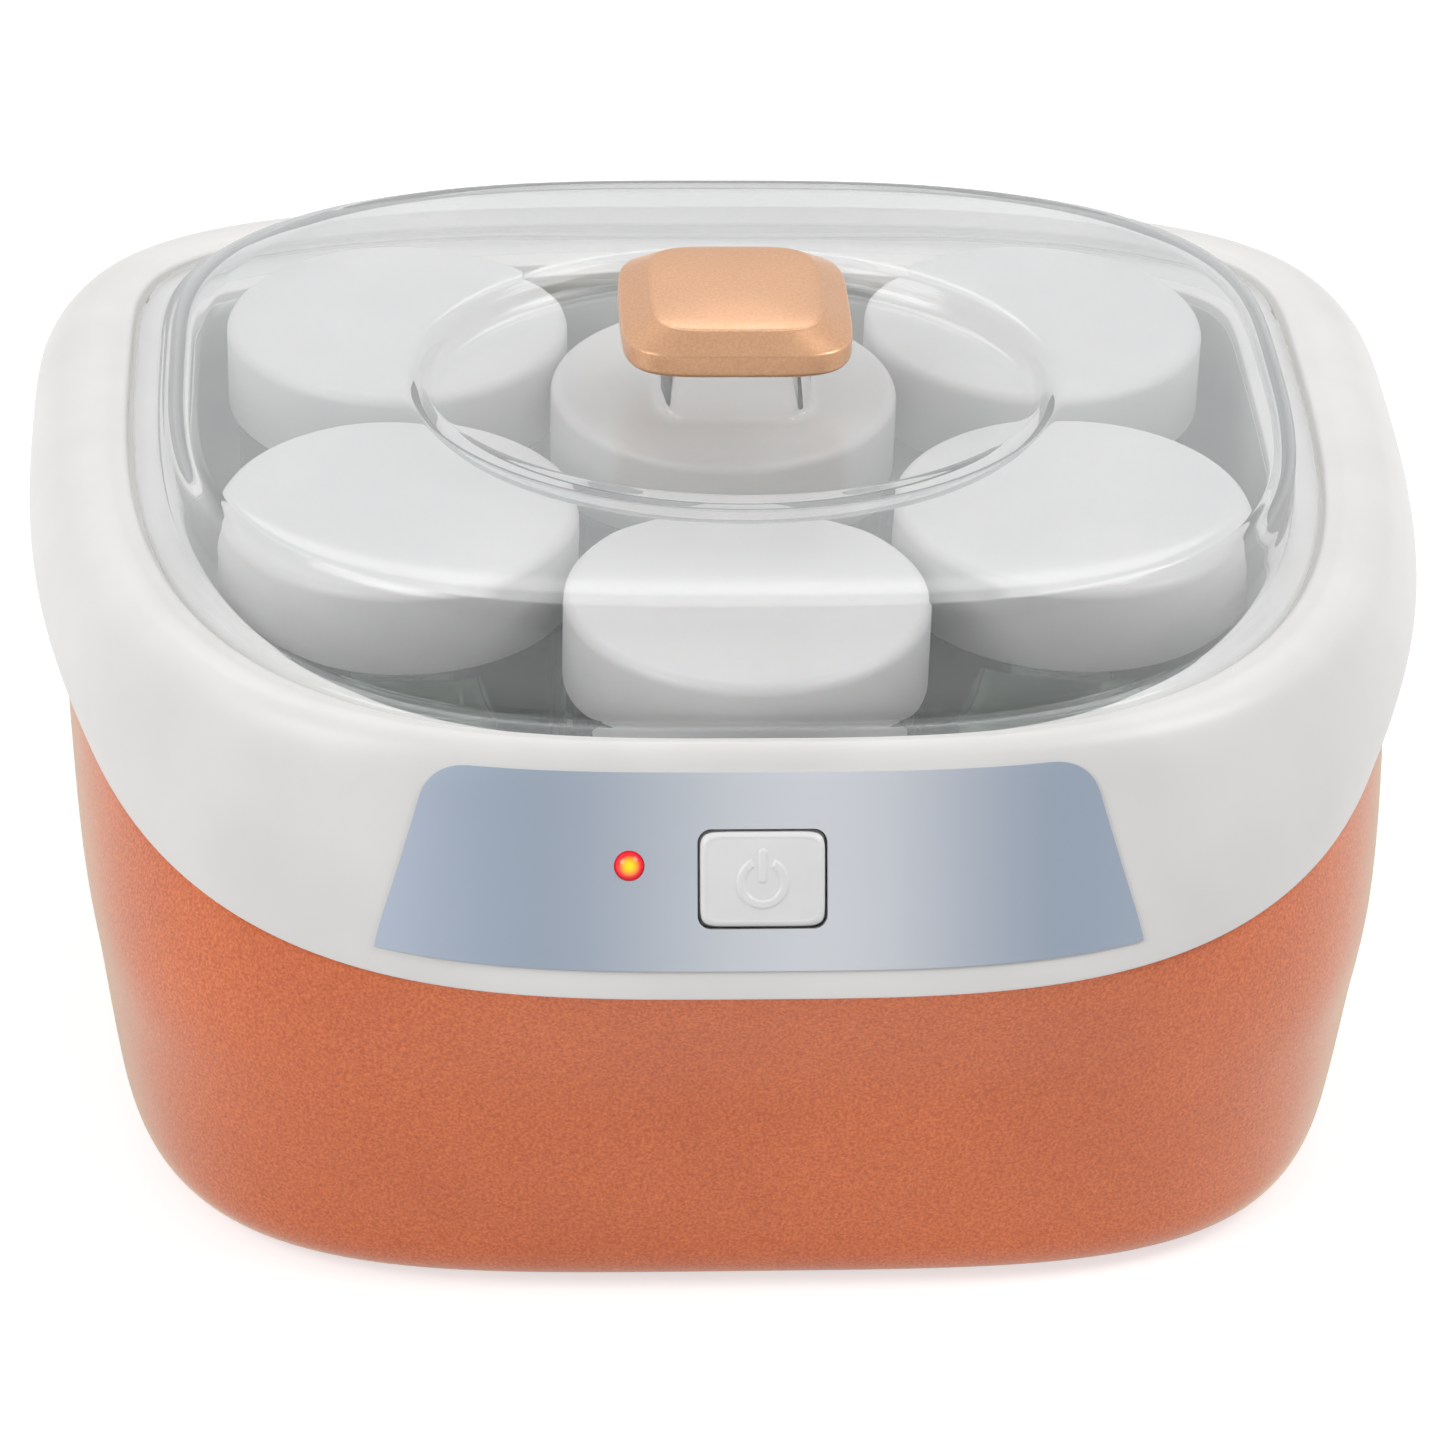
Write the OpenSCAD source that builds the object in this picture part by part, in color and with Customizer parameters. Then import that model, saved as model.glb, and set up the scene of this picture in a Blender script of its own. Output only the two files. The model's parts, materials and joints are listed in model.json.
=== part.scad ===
// Six-jar yogurt maker: a warm water-free pan in a two-piece plastic casing, a clear lift-off cover
// with a knob, six glass jars with snap-on lids, and a push button with its lamp on a sloping panel.
// Millimetres, +Z up, front towards -Y. The origin is the middle of the footprint, on the table.

/* [Casing] */
// Half of the widest width of the collar
collar_half_w = 132.6; // [131:0.1:134]
// Wall of the plastic casing
wall = 2.6; // [2.2:0.1:3]
// Height of the ledge that carries the cover
ledge_z = 109; // [108.5:0.1:109.2]
// Height of the underside of that ledge
ledge_under_z = 105.5; // [105.4:0.1:106.5]
// Height of the lower edge of the casing above the table
casing_foot = 2; // [1:0.5:2.5]
// Diameter of the rubber feet
foot_d = 14; // [10:1:18]

/* [Jars] */
// Outer diameter of the jar lids
lid_d = 66; // [64:0.5:66.5]
// Height of the top of the jar lids
lid_top_z = 117; // [115:0.5:118]
// Depth of the lid's skirt
lid_skirt = 17; // [14:1:20]
// Outer diameter of the glass jars
jar_d = 62; // [58:0.5:62]
// Wall of the glass
glass = 2.8; // [2:0.1:3.5]
// Height of the pan floor that the jars stand on
floor_z = 37.2; // [36.5:0.1:38]

/* [Cover] */
// Thickness of the clear cover
cover_t = 2.2; // [1.8:0.1:2.4]
// Height of the top of the knob
knob_top_z = 150.2; // [149:0.2:151.6]
// Width of the knob
knob_w = 42.6; // [38:0.2:46]
// Depth of the knob, front to back
knob_depth = 42.6; // [38:0.2:46]

/* [Control panel] */
// Angle of the panel, from lying flat
panel_tilt = 62.4; // [61:0.1:63]
// Width of the button cap
button_w = 21.6; // [18:0.2:24]
// Height of the button cap, along the slope
button_h = 16.4; // [14:0.2:17]
// Gap around the button cap
button_gap = 0.45; // [0.3:0.05:0.8]
// How far the button goes in
button_travel = 1.5; // [1:0.1:1.6]
// Sideways place of the indicator lamp
lamp_x = -23; // [-26:0.5:-20]
// Diameter of the lamp's lens
lamp_d = 5; // [3:0.5:5]

/* [Cord entry] */
// Bore of the cord bushing
cord_d = 6.8; // [5:0.1:8]
// Sideways place of the cord entry
cord_x = -45; // [-60:1:-30]

/* [Hidden] */

// Fine rounding for bores and turned pieces
$fn = 64;
// Points in each ring of a shell
ring_points = 56;
// The casing is widest this far behind the middle
widest_y = 50;
// Clearance between pieces that sit against each other
seat = 0.1;

// ---- Plan outlines and shells ----
// A station is one level of a shell: [half width, front y, rear y, front z, rear z,
// front squareness, rear squareness, widest y, side squareness]. Its ring is widest at
// widest y, and lies in a plane that tilts from front z to rear z.
side_squareness = 3;
collar_side = 3.25;
foot_side = 4;

function ring_at(s) =
    [for (i = [0 : ring_points - 1]) let (
        angle = 360 * (i + 0.5) / ring_points,
        c = cos(angle), k = sin(angle),
        reach = k < 0 ? s[7] - s[1] : s[2] - s[7],
        n = k < 0 ? s[5] : s[6],
        x = s[0] * sign(c) * pow(abs(c), 2 / s[8]),
        y = s[7] + reach * sign(k) * pow(abs(k), 2 / n))
        [x, y, s[3] + (s[4] - s[3]) * (y - s[1]) / (s[2] - s[1])]];

// A level that stays flat at height z
function flat_station(half_w, front_y, rear_y, z, front_n, rear_n, widest = widest_y,
    side_n = side_squareness) =
    [half_w, front_y, rear_y, z, z, front_n, rear_n, widest, side_n];

// An ellipse about the middle of the dish, as a ring that fits the stations
function oval_ring(half_w, half_d, z) =
    ring_at(flat_station(half_w, dish_y - half_d, dish_y + half_d, z, 2, 2, dish_y, 2));

// Smooth curve through a list of stations
function smooth_at(list, u) = let (
    last = len(list) - 1,
    i = min(floor(u), last - 1), f = u - i,
    a = list[max(i - 1, 0)], b = list[i], c = list[i + 1], d = list[min(i + 2, last)])
    b + f / 2 * ((c - a) + f * ((2 * a - 5 * b + 4 * c - d) + f * (3 * b - a - 3 * c + d)));

function rings_through(list, steps) =
    [for (i = [0 : (len(list) - 1) * steps]) ring_at(smooth_at(list, i / steps))];

// The skin between rings that run up the outside of a shell, in triangles
function skin_faces(rows, cols, wrap) =
    [for (j = [0 : rows - (wrap ? 1 : 2)], i = [0 : cols - 1]) let (
        a = j * cols + i, b = j * cols + (i + 1) % cols,
        c = ((j + 1) % rows) * cols + (i + 1) % cols, d = ((j + 1) % rows) * cols + i)
        each [[a, c, b], [a, d, c]]];

// A shell that is open in the middle: the rings run right round its wall
module ring_shell(rings) {
    polyhedron(points = [for (r = rings) each r],
        faces = skin_faces(len(rings), ring_points, true), convexity = 8);
}

function reversed(list) = [for (i = [len(list) - 1 : -1 : 0]) list[i]];

// A shell that is closed in the middle: its first and last rings are capped
module capped_shell(rings) {
    last = (len(rings) - 1) * ring_points;
    polyhedron(points = [for (r = rings) each r],
        faces = concat(skin_faces(len(rings), ring_points, false),
            [[for (i = [0 : ring_points - 1]) i]],
            [[for (i = [ring_points - 1 : -1 : 0]) last + i]]), convexity = 8);
}

// ---- Casing stations ----
// Plane where the collar meets the body: it rises from the front to the rear
joint_front_z = 74.2;
joint_rear_z = 97;
joint_front_y = -120.4;
joint_rear_y = 119.8;
function joint_z(y) = joint_front_z
    + (joint_rear_z - joint_front_z) * (y - joint_front_y) / (joint_rear_y - joint_front_y);
// A level parallel to the joint plane, this far above it
function joint_station(half_w, front_y, rear_y, rise, front_n, rear_n) =
    [half_w, front_y, rear_y, joint_z(front_y) + rise, joint_z(rear_y) + rise, front_n, rear_n,
        widest_y, collar_side];
// A flat level of the body, squarer at its sides towards the foot
function body_station(half_w, front_y, rear_y, z, front_n, rear_n) =
    flat_station(half_w, front_y, rear_y, z, front_n, rear_n,
        side_n = foot_side + (collar_side - foot_side) * z / joint_front_z);

// Outer skin of the collar, from the edge of the cover's groove to the joint
collar_skin = [
    flat_station(114.2, -95.4, 106, 111.6, 3, 4.2, side_n = 3.05),
    flat_station(117.6, -97, 109.4, 112.3, 2.95, 3.9, side_n = 3.15),
    [122, -99.2, 113.2, 111.4, 112.2, 2.9, 3.6, widest_y, collar_side],
    [126.6, -101.6, 117.2, 108.2, 110.2, 2.8, 3.4, widest_y, collar_side],
    [130.8, -105.9, 119.6, 99.9, 106.8, 2.7, 3.2, widest_y, collar_side],
    [collar_half_w, -110.5, 120.2, 91.5, 103, 2.65, 3.1, widest_y, collar_side],
    [131.4, -115.3, 120.2, 83.2, 99.6, 2.6, 3, widest_y, collar_side],
    joint_station(128.2, joint_front_y, joint_rear_y, 0, 2.6, 3)];
// Inner skin of the collar, from the joint up to the ledge
collar_lining = [
    joint_station(128.2 - wall, joint_front_y + 2.3, joint_rear_y - wall, 0, 2.6, 3),
    [131.4 - wall, -113, 117.6, 82.1, 98.4, 2.6, 3, widest_y, collar_side],
    [collar_half_w - wall, -108.2, 117.6, 90.2, 101.6, 2.65, 3.1, widest_y, collar_side],
    [128, -103.6, 116.6, 98.5, 104.6, 2.7, 3.2, widest_y, collar_side],
    [122.6, -100, 112, 105, 106, 2.8, 3.6, widest_y, collar_side]];
mouth = [103.6, -90.6, 91];
groove_foot = [113.4, -94.6, 105.2];

// Outer skin of the body, from its foot to the joint
body_top = [126.8, -118.8, 118.2];
body_skin = [
    body_station(111, -100, 100, casing_foot, 5, 4.4),
    body_station(114.6, -103.6, 103.4, casing_foot + 1.8, 4.9, 4.3),
    body_station(116.6, -105.6, 105, casing_foot + 6, 4.8, 4.2),
    body_station(118, -106.9, 106, 16, 4.8, 4.1),
    body_station(123.2, -112.9, 112.6, 52, 4.3, 3.6),
    joint_station(body_top[0], body_top[1], body_top[2], -0.3, 2.7, 3)];

// ---- Panel ----
panel_y = -109.8;
panel_z = 92.4;
lamp_rise = 2.4;
board_depth = 12;
board_t = 1.6;
// Places a piece on the panel: x across, y up the slope, z out of the surface
module on_panel() {
    translate([0, panel_y, panel_z]) rotate([panel_tilt, 0, 0]) children();
}

// A rectangle with round corners, as true arcs
module rounded_rect(w, h, r) {
    square([w - 2 * r, h], center = true);
    square([w, h - 2 * r], center = true);
    for (x = [-1, 1], y = [-1, 1]) translate([x * (w / 2 - r), y * (h / 2 - r)]) circle(r = r);
}

module rounded_block(w, h, r, t) { linear_extrude(t) rounded_rect(w, h, r); }

// ---- Places of repeated pieces ----
dish_y = -1;
knob_y = 3;
jar_places = [[-62, 52.6], [-62, -20.6], [0, 25.8], [0, -53.6], [62, 52.6], [62, -20.6]];
post_places = [[-115, 50], [-113, -6], [115, 50], [113, -6]];
post_d = 9;
post_foot_z = 66.8;
lug_t = 3.2;
lug_end = 122.3;
board_posts = [[-34, -6], [34, -6]];
base_screw_places = [[-100, 24], [100, 24], [-50, -88.5], [50, -88.5], [-50, 90.5], [50, 90.5]];
foot_places = [[-72, 66], [72, 66], [-72, -66], [72, -66]];
pan_screw_angles = [18, 90, 162, 205, 270, 335];
pan_flange = flat_station(107, -94.4, 95.3, ledge_under_z, 3, 5);
function on_flange(angle) = [
    pan_flange[0] * sign(cos(angle)) * pow(abs(cos(angle)), 2 / side_squareness),
    widest_y + (sin(angle) < 0 ? widest_y - pan_flange[1] : pan_flange[2] - widest_y)
        * sign(sin(angle)) * pow(abs(sin(angle)), 2 / (sin(angle) < 0 ? 3 : 5))];
cord_z = 22;
cord_pad_y = 108;

// A pan-head screw that points up, with the underside of its head at z 0
module screw(d, length, head_d, head_h) {
    cylinder(d = d, h = length);
    difference() {
        translate([0, 0, -head_h]) cylinder(d1 = head_d * 0.8, d2 = head_d, h = head_h);
        for (turn = [0, 90]) translate([0, 0, -head_h - 1]) rotate([0, 0, turn])
            translate([-head_d * 0.3, -head_d * 0.06, 0]) cube([head_d * 0.6, head_d * 0.12, 2.2]);
    }
}

// An insulated wire: an eight-sided tube swept through a list of points
wire_sides = 8;
function unit(v) = v / norm(v);
function wire_ring(points, i, r) = let (
    last = len(points) - 1,
    along = unit(unit(points[min(i + 1, last)] - points[min(i, last - 1)])
        + unit(points[max(i, 1)] - points[max(i - 1, 0)])),
    side = unit(cross(along, [1, 0.2, 0.1])), up = cross(along, side))
    [for (k = [0 : wire_sides - 1]) points[i]
        + r * (cos(360 * k / wire_sides) * side + sin(360 * k / wire_sides) * up)];

// The last points of a wire that ends behind the control board
function to_board(x) = [[x, -97.2, 74], [x, -98, 77.2], [x, -101.1, 78.8]];

module wire(points, d = 2.2) {
    count = len(points);
    last = (count - 1) * wire_sides;
    polyhedron(points = [for (i = [0 : count - 1]) each wire_ring(points, i, d / 2)],
        faces = concat(skin_faces(count, wire_sides, false),
            [[for (k = [0 : wire_sides - 1]) k]], [[for (k = [wire_sides - 1 : -1 : 0]) last + k]]),
        convexity = 6);
}

// ---- Casing ----
module outer_body() {
    lip_top = 5;
    color("#C56A44") difference() {
        union() {
            ring_shell(concat(
                [for (u = [0, 0.5, 1, 1.5, 2, 3, 3.5, 4, 4.5, 5]) let (i = min(floor(u), 4))
                    ring_at(body_skin[i] + (u - i) * (body_skin[i + 1] - body_skin[i]))],
                [for (s = [
                    joint_station(125.1, -117.3, 116.6, -0.3, 2.55, 2.9),
                    joint_station(125.1, -114.3, 116.4, lip_top, 2.5, 2.9),
                    joint_station(123.5, -112.7, 114.8, lip_top, 2.5, 2.9),
                    joint_station(123.2, -115.4, 114.7, -4, 2.7, 3),
                    body_station(120.6, -110.3, 110, 52, 4.3, 3.6),
                    body_station(115.4, -104.3, 103.4, 17, 4.8, 4.1),
                    body_station(113.4, -102.6, 102, 10, 4.8, 4.2),
                    body_station(99.5, -85.5, 87.5, 9, 4.8, 4.2),
                    body_station(99.5, -85.5, 87.5, 6.4, 4.8, 4.2),
                    body_station(108.4, -97.4, 97.4, 6.4, 5, 4.4),
                    body_station(108.4, -97.4, 97.4, casing_foot, 5, 4.4)]) ring_at(s)]));
            for (p = post_places) translate([0, p[1], post_foot_z - lug_t])
                linear_extrude(lug_t - seat) mirror([p[0] < 0 ? 1 : 0, 0]) union() {
                    translate([abs(p[0]) - 1, 0]) circle(d = post_d + 1);
                    translate([abs(p[0]) - 1, -post_d / 2 - 0.5])
                        square([lug_end - abs(p[0]) + 1, post_d + 1]);
                }
            for (p = base_screw_places) translate([p[0], p[1], 6.4]) cylinder(d = 9, h = 8);
            translate([cord_x, cord_pad_y, cord_z]) rotate([90, 0, 0]) cylinder(d = 22, h = 6.5);
        }
        for (p = post_places) translate([p[0], p[1], post_foot_z - 5]) cylinder(d = 4.2, h = 6);
        for (p = base_screw_places) translate([p[0], p[1], 6]) cylinder(d = 2.8, h = 7);
        translate([cord_x, cord_pad_y + 1, cord_z]) rotate([90, 0, 0]) cylinder(d = 13, h = 20);
    }
}

module collar() {
    color("#E2E2E2") difference() {
        union() {
            ring_shell(reversed(concat(
                rings_through(collar_skin, 2),
                rings_through(collar_lining, 1),
                [for (s = [
                    flat_station(117.6, -98.2, 108.6, ledge_under_z, 2.8, 3.8,
                        side_n = collar_side),
                    flat_station(mouth[0], mouth[1], mouth[2], ledge_under_z, 3, 5),
                    flat_station(mouth[0], mouth[1], mouth[2], ledge_z, 3, 5),
                    flat_station(groove_foot[0], groove_foot[1], groove_foot[2], ledge_z, 3, 4.2)
                    ]) ring_at(s)])));
            for (p = post_places) translate([p[0], p[1], post_foot_z])
                cylinder(d = post_d, h = 40.5);
            on_panel() for (p = board_posts) translate([p[0], p[1], -board_depth + seat])
                cylinder(d = 6, h = board_depth - 1.6);
        }
        for (p = post_places) translate([p[0], p[1], post_foot_z - 1]) cylinder(d = 3.6, h = 18);
        for (a = pan_screw_angles) translate([on_flange(a)[0], on_flange(a)[1], ledge_under_z - 1])
            cylinder(d = 2.6, h = 3.6);
        on_panel() {
            for (p = board_posts) translate([p[0], p[1], -board_depth - 1]) cylinder(d = 2.4, h = 8);
            translate([0, 0, -8]) rounded_block(button_w + 2 * button_gap, button_h + 2 * button_gap,
                2.4, 16);
            translate([lamp_x, lamp_rise, -8]) cylinder(d = lamp_d + 1.7, h = 16);
        }
    }
}

// A printed metal-look plate that follows the front of the collar
panel_top_u = 2.9;
panel_foot_u = 6.45;
module panel_plate() {
    rows = 10;
    cols = 24;
    lift = [0.05, 0.55];
    out = [0, -sin(panel_tilt), cos(panel_tilt)];
    corner = 6.5;
    corner_end = 0.22;
    function half_at(f) = 57 + 10 * f
        - corner * (f < corner_end ? 1 - sqrt(1 - pow(1 - f / corner_end, 2)) : 0);
    function skin_at(u, x) = let (
        s = smooth_at(collar_skin, u),
        k = pow(1 - pow(abs(x) / s[0], s[8]), 1 / s[5]),
        y = s[7] - (s[7] - s[1]) * k)
        [x, y, s[3] + (s[4] - s[3]) * (y - s[1]) / (s[2] - s[1])];
    side = [for (h = lift) [for (j = [0 : rows], i = [0 : cols]) let (f = pow(j / rows, 1.4))
        skin_at(panel_top_u + (panel_foot_u - panel_top_u) * f, half_at(f) * (2 * i / cols - 1))
        + h * out]];
    count = (rows + 1) * (cols + 1);
    function at(j, i) = j * (cols + 1) + i;
    rim = concat([for (i = [0 : cols - 1]) at(0, i)], [for (j = [0 : rows - 1]) at(j, cols)],
        [for (i = [cols : -1 : 1]) at(rows, i)], [for (j = [rows : -1 : 1]) at(j, 0)]);
    color("#9AA8BC") difference() {
        polyhedron(points = concat(side[0], side[1]), convexity = 4, faces = concat(
            [for (j = [0 : rows - 1], i = [0 : cols - 1]) let (
                a = at(j, i), b = at(j, i + 1), c = at(j + 1, i + 1), d = at(j + 1, i))
                each [[a, c, b], [a, d, c], [a + count, b + count, c + count],
                    [a + count, c + count, d + count]]],
            [for (i = [0 : len(rim) - 1]) let (a = rim[i], b = rim[(i + 1) % len(rim)])
                each [[a, b, b + count], [a, b + count, a + count]]]));
        on_panel() {
            translate([0, 0, -8]) rounded_block(button_w + 2 * button_gap,
                button_h + 2 * button_gap, 2.4, 16);
            translate([lamp_x, lamp_rise, -8]) cylinder(d = lamp_d + 0.3, h = 16);
        }
    }
}

module body_screws() {
    color("silver") for (p = post_places) translate([p[0], p[1], post_foot_z - lug_t - seat])
        screw(3.5, 16, 7.5, 2.4);
}

module base_plate() {
    s = body_station(108.1, -97.1, 97.1, casing_foot, 5, 4.4);
    color("#4A4D50") difference() {
        translate([0, 0, casing_foot + 1]) linear_extrude(3.2)
            polygon([for (p = ring_at(s)) [p[0], p[1]]]);
        for (p = base_screw_places) translate([p[0], p[1], 0]) {
            cylinder(d = 3.6, h = 10);
            cylinder(d = 7.4, h = casing_foot + 2.6);
        }
        for (p = foot_places) translate([p[0], p[1], 0]) cylinder(d = 6.2, h = 10);
        for (x = [-30 : 10 : 30], y = [-1, 1]) translate([x, y * 30, 0])
            rounded_block(4, 22, 1.9, 10);
    }
}

module base_screws() {
    color("silver") for (p = base_screw_places) translate([p[0], p[1], casing_foot + 2.6 - seat])
        screw(2.7, 8, 5.6, 2);
}

module feet() {
    color("#2B2B2B") for (p = foot_places) translate([p[0], p[1], 0]) {
        cylinder(d1 = foot_d - 1, d2 = foot_d, h = 1);
        translate([0, 0, 1]) cylinder(d = foot_d, h = casing_foot - seat);
        translate([0, 0, 1]) cylinder(d = 6, h = casing_foot + 3.4);
        translate([0, 0, casing_foot + 4.3]) cylinder(d1 = 8, d2 = 5, h = 2.4);
    }
}

// ---- Warming pan and its heater ----
spreader_t = 3;
spreader_z = floor_z - 1.2 - seat - spreader_t;
heater_h = 7;
module inner_pan() {
    sheet = 1.2;
    top = ledge_under_z - seat;
    color("#B9BDBB") difference() {
        capped_shell([for (s = [
            flat_station(97, -86, 85.2, floor_z - sheet, 3, 5),
            flat_station(100.4, -88.9, 88.7, floor_z - 0.4, 3, 5),
            flat_station(102.2, -90.2, 90.2, floor_z + 4, 3, 5),
            flat_station(104.1, -91.7, 91.8, top - sheet, 3, 5),
            flat_station(109.6, -97, 98.8, top - sheet, 3, 5),
            flat_station(109.6, -97, 98.8, top, 3, 5),
            flat_station(102.9, -90.5, 90.6, top, 3, 5),
            flat_station(101, -89, 89, floor_z + 4, 3, 5),
            flat_station(99.4, -87.8, 87.6, floor_z + 0.8, 3, 5),
            flat_station(96.4, -85.2, 84.6, floor_z, 3, 5)]) ring_at(s)]);
        for (a = pan_screw_angles) translate([on_flange(a)[0], on_flange(a)[1], top - 3])
            cylinder(d = 2.8, h = 5);
    }
    color("#B9BDBB") for (p = jar_places) translate([p[0], p[1], floor_z - 0.3]) rotate_extrude()
        polygon([[31.7, 0], [31.9, 1.3], [32.5, 1.8], [33, 1.3], [33.2, 0]]);
}

module pan_screws() {
    color("silver") for (a = pan_screw_angles)
        translate([on_flange(a)[0], on_flange(a)[1], ledge_under_z - 1.3 - 2 * seat])
            screw(2.5, 3.4, 4.8, 1.6);
}

module heat_spreader() {
    color("#C9CBCC") translate([0, 0, spreader_z]) difference() {
        rounded_block(150, 124, 30, spreader_t);
        for (x = [-42, 42]) translate([x, 0, -1]) cylinder(d = 3, h = 3.2);
    }
}

module ptc_heater() {
    color("#D8D2C4") translate([0, 0, spreader_z - seat - heater_h]) difference() {
        rounded_block(62, 26, 3, heater_h);
        for (y = [-9.6, 9.6]) translate([25, y, -1]) cylinder(d = 3.4, h = 4);
    }
}

module heater_bracket() {
    foot_z = spreader_z - seat - 1.5;
    color("#A8AAAC") difference() {
        union() {
            translate([-35, -7, foot_z - heater_h]) cube([70, 14, 1.4]);
            for (x = [-1, 1]) {
                translate([x * 34.3 - 0.7, -7, foot_z - heater_h]) cube([1.4, 14, heater_h + 1.5]);
                translate([x > 0 ? 33.6 : -50, -7, foot_z]) cube([16.4, 14, 1.5]);
            }
        }
        for (x = [-42, 42]) translate([x, 0, foot_z - 1]) cylinder(d = 3.4, h = 4);
    }
}

module bracket_screws() {
    color("silver") for (x = [-42, 42]) translate([x, 0, spreader_z - 1.5 - 2 * seat])
        screw(2.9, 3.6, 6, 2);
}

module thermostat() {
    color("#1F1F22") translate([22, 38, spreader_z - seat]) {
        translate([0, 0, -2.5]) cylinder(d = 17, h = 2.5);
        translate([0, 0, -9]) cylinder(d = 15, h = 6.8);
        for (y = [-5, 5]) translate([-3, y - 0.4, -17]) cube([6.3, 0.8, 8.4]);
    }
}

module thermal_fuse() {
    color("#D9D4C6") translate([15, -34, spreader_z - seat - 2.1]) rotate([0, 90, 0]) {
        cylinder(d = 4, h = 12);
        translate([0, 0, -7]) cylinder(d = 1, h = 26, $fn = 24);
    }
}

module heater_leads() {
    color("#C0392B") {
        wire(concat([[25, -9.6, 28.4], [25, -9.6, 18], [25, -16, 14], [22, -70, 14],
            [14, -92, 30], [14, -98, 58]], to_board(14)));
        wire([[25, 9.6, 28.4], [25, 9.6, 18], [24, 30, 11], [22, 43, 10], [22, 43, 15.6]]);
        wire([[22, 33, 15.6], [22, 33, 10], [10, 4, 10], [2, -26, 20], [2, -34, 30],
            [4, -34, 30.7], [7.8, -34, 30.7]]);
        wire(concat([[34.2, -34, 30.7], [37, -34, 30.7], [39, -40, 26], [34, -64, 14], [20, -92, 30],
            [20, -98, 58]], to_board(20)));
    }
}

// ---- Control board, lamp and switch ----
module control_board() {
    color("#2E6B4A") on_panel() difference() {
        translate([0, -5, -board_depth - board_t]) rounded_block(84, 26, 2, board_t);
        for (p = board_posts) translate([p[0], p[1], -board_depth - 5]) cylinder(d = 3, h = 8);
        for (x = [-1.27, 1.27]) translate([lamp_x + x, lamp_rise, -board_depth - 5])
            cylinder(d = 0.9, h = 8);
    }
}

module board_screws() {
    color("silver") on_panel() for (p = board_posts)
        translate([p[0], p[1], -board_depth - board_t - seat]) screw(2.3, 8, 4.6, 1.6);
}

module indicator_lamp() {
    color("#E03030") on_panel() translate([lamp_x, lamp_rise, 0]) {
        translate([0, 0, -7.2]) cylinder(d = lamp_d, h = 6.4);
        intersection() {
            translate([0, 0, -0.8]) sphere(d = lamp_d);
            translate([0, 0, -0.8]) cylinder(d = lamp_d + 1, h = lamp_d);
        }
        for (x = [-1.27, 1.27]) translate([x, 0, -board_depth - board_t - 1])
            cylinder(d = 0.6, h = 7.6);
    }
}

module lamp_sleeve() {
    color("#F0F0EC") on_panel() translate([lamp_x, lamp_rise, -board_depth + seat]) difference() {
        cylinder(d = lamp_d + 1.5, h = board_depth - 0.7);
        translate([0, 0, -1]) cylinder(d = lamp_d + 0.1, h = board_depth + 3);
    }
}

switch_top = -6.4;
module power_switch() {
    color("#2A2A2E") on_panel() difference() {
        translate([0, 0, -board_depth + seat]) rounded_block(12, 12, 1, board_depth + switch_top - seat);
        translate([0, 0, -board_depth + 1]) cylinder(d = 4.8, h = 12);
    }
}

module power_button() {
    color("#EDEDED") on_panel() union() {
        translate([0, 0, -3.4]) rounded_block(button_w, button_h, 2, 4.2);
        translate([0, 0, 0.7]) rounded_block(button_w - 1, button_h - 1, 1.6, 0.7);
        translate([0, 0, -4.2]) rounded_block(button_w + 2.6, button_h + 2, 2, 0.9);
        translate([0, 0, -9]) cylinder(d = 4, h = 5);
    }
}

// ---- Cord entry ----
module cord_bushing() {
    color("#1E1E1E") translate([cord_x, cord_pad_y + 3, cord_z]) rotate([90, 0, 0]) difference() {
        union() {
            cylinder(d1 = 15, d2 = 17, h = 2.7);
            cylinder(d = 12.8, h = 14);
            translate([0, 0, 9.8]) cylinder(d1 = 15, d2 = 13, h = 4);
        }
        translate([0, 0, -1]) cylinder(d = cord_d, h = 20);
    }
}

bar_rise = 19.5;
base_top = casing_foot + 4.2 + seat;
module cord_clamp() {
    color("#3A3A3A") translate([cord_x, 78, base_top]) difference() {
        union() {
            for (x = [-13, 7]) translate([x, -4, 0]) cube([6, 8, 19.2]);
            translate([-13, -4, 0]) cube([26, 8, 12]);
            translate([-13, -4, bar_rise]) cube([26, 8, 3]);
            translate([0, 4, bar_rise + 1.2]) rotate([90, 0, 0]) cylinder(d = 4, h = 8);
        }
        for (x = [-10, 10]) translate([x, 0, -1]) cylinder(d = 2.7, h = 30);
    }
}

module clamp_screws() {
    color("silver") for (x = [-10, 10])
        translate([cord_x + x, 78, base_top + bar_rise + 3 + seat]) rotate([180, 0, 0])
            screw(2.5, 18, 4.8, 1.8);
}

module terminal_block() {
    color("#E8E6DE") translate([-20, 62, base_top]) difference() {
        translate([-12, -8, 0]) cube([24, 16, 13]);
        for (x = [-6, 6]) {
            translate([x, -9, 5]) rotate([-90, 0, 0]) cylinder(d = 3.6, h = 18);
            translate([x, 0, 5]) cylinder(d = 4.4, h = 9);
        }
    }
}

module supply_leads() {
    color("#3C6FB0") for (x = [-6, 6])
        wire(concat([[-20 + x, 57, 11.3], [-20 + x, 50, 11.3], [-36 + x, 20, 10],
            [-36 + x, -66, 11], [-24 + x, -93, 30], [-18 + x, -98, 58]], to_board(-18 + x)));
}

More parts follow.
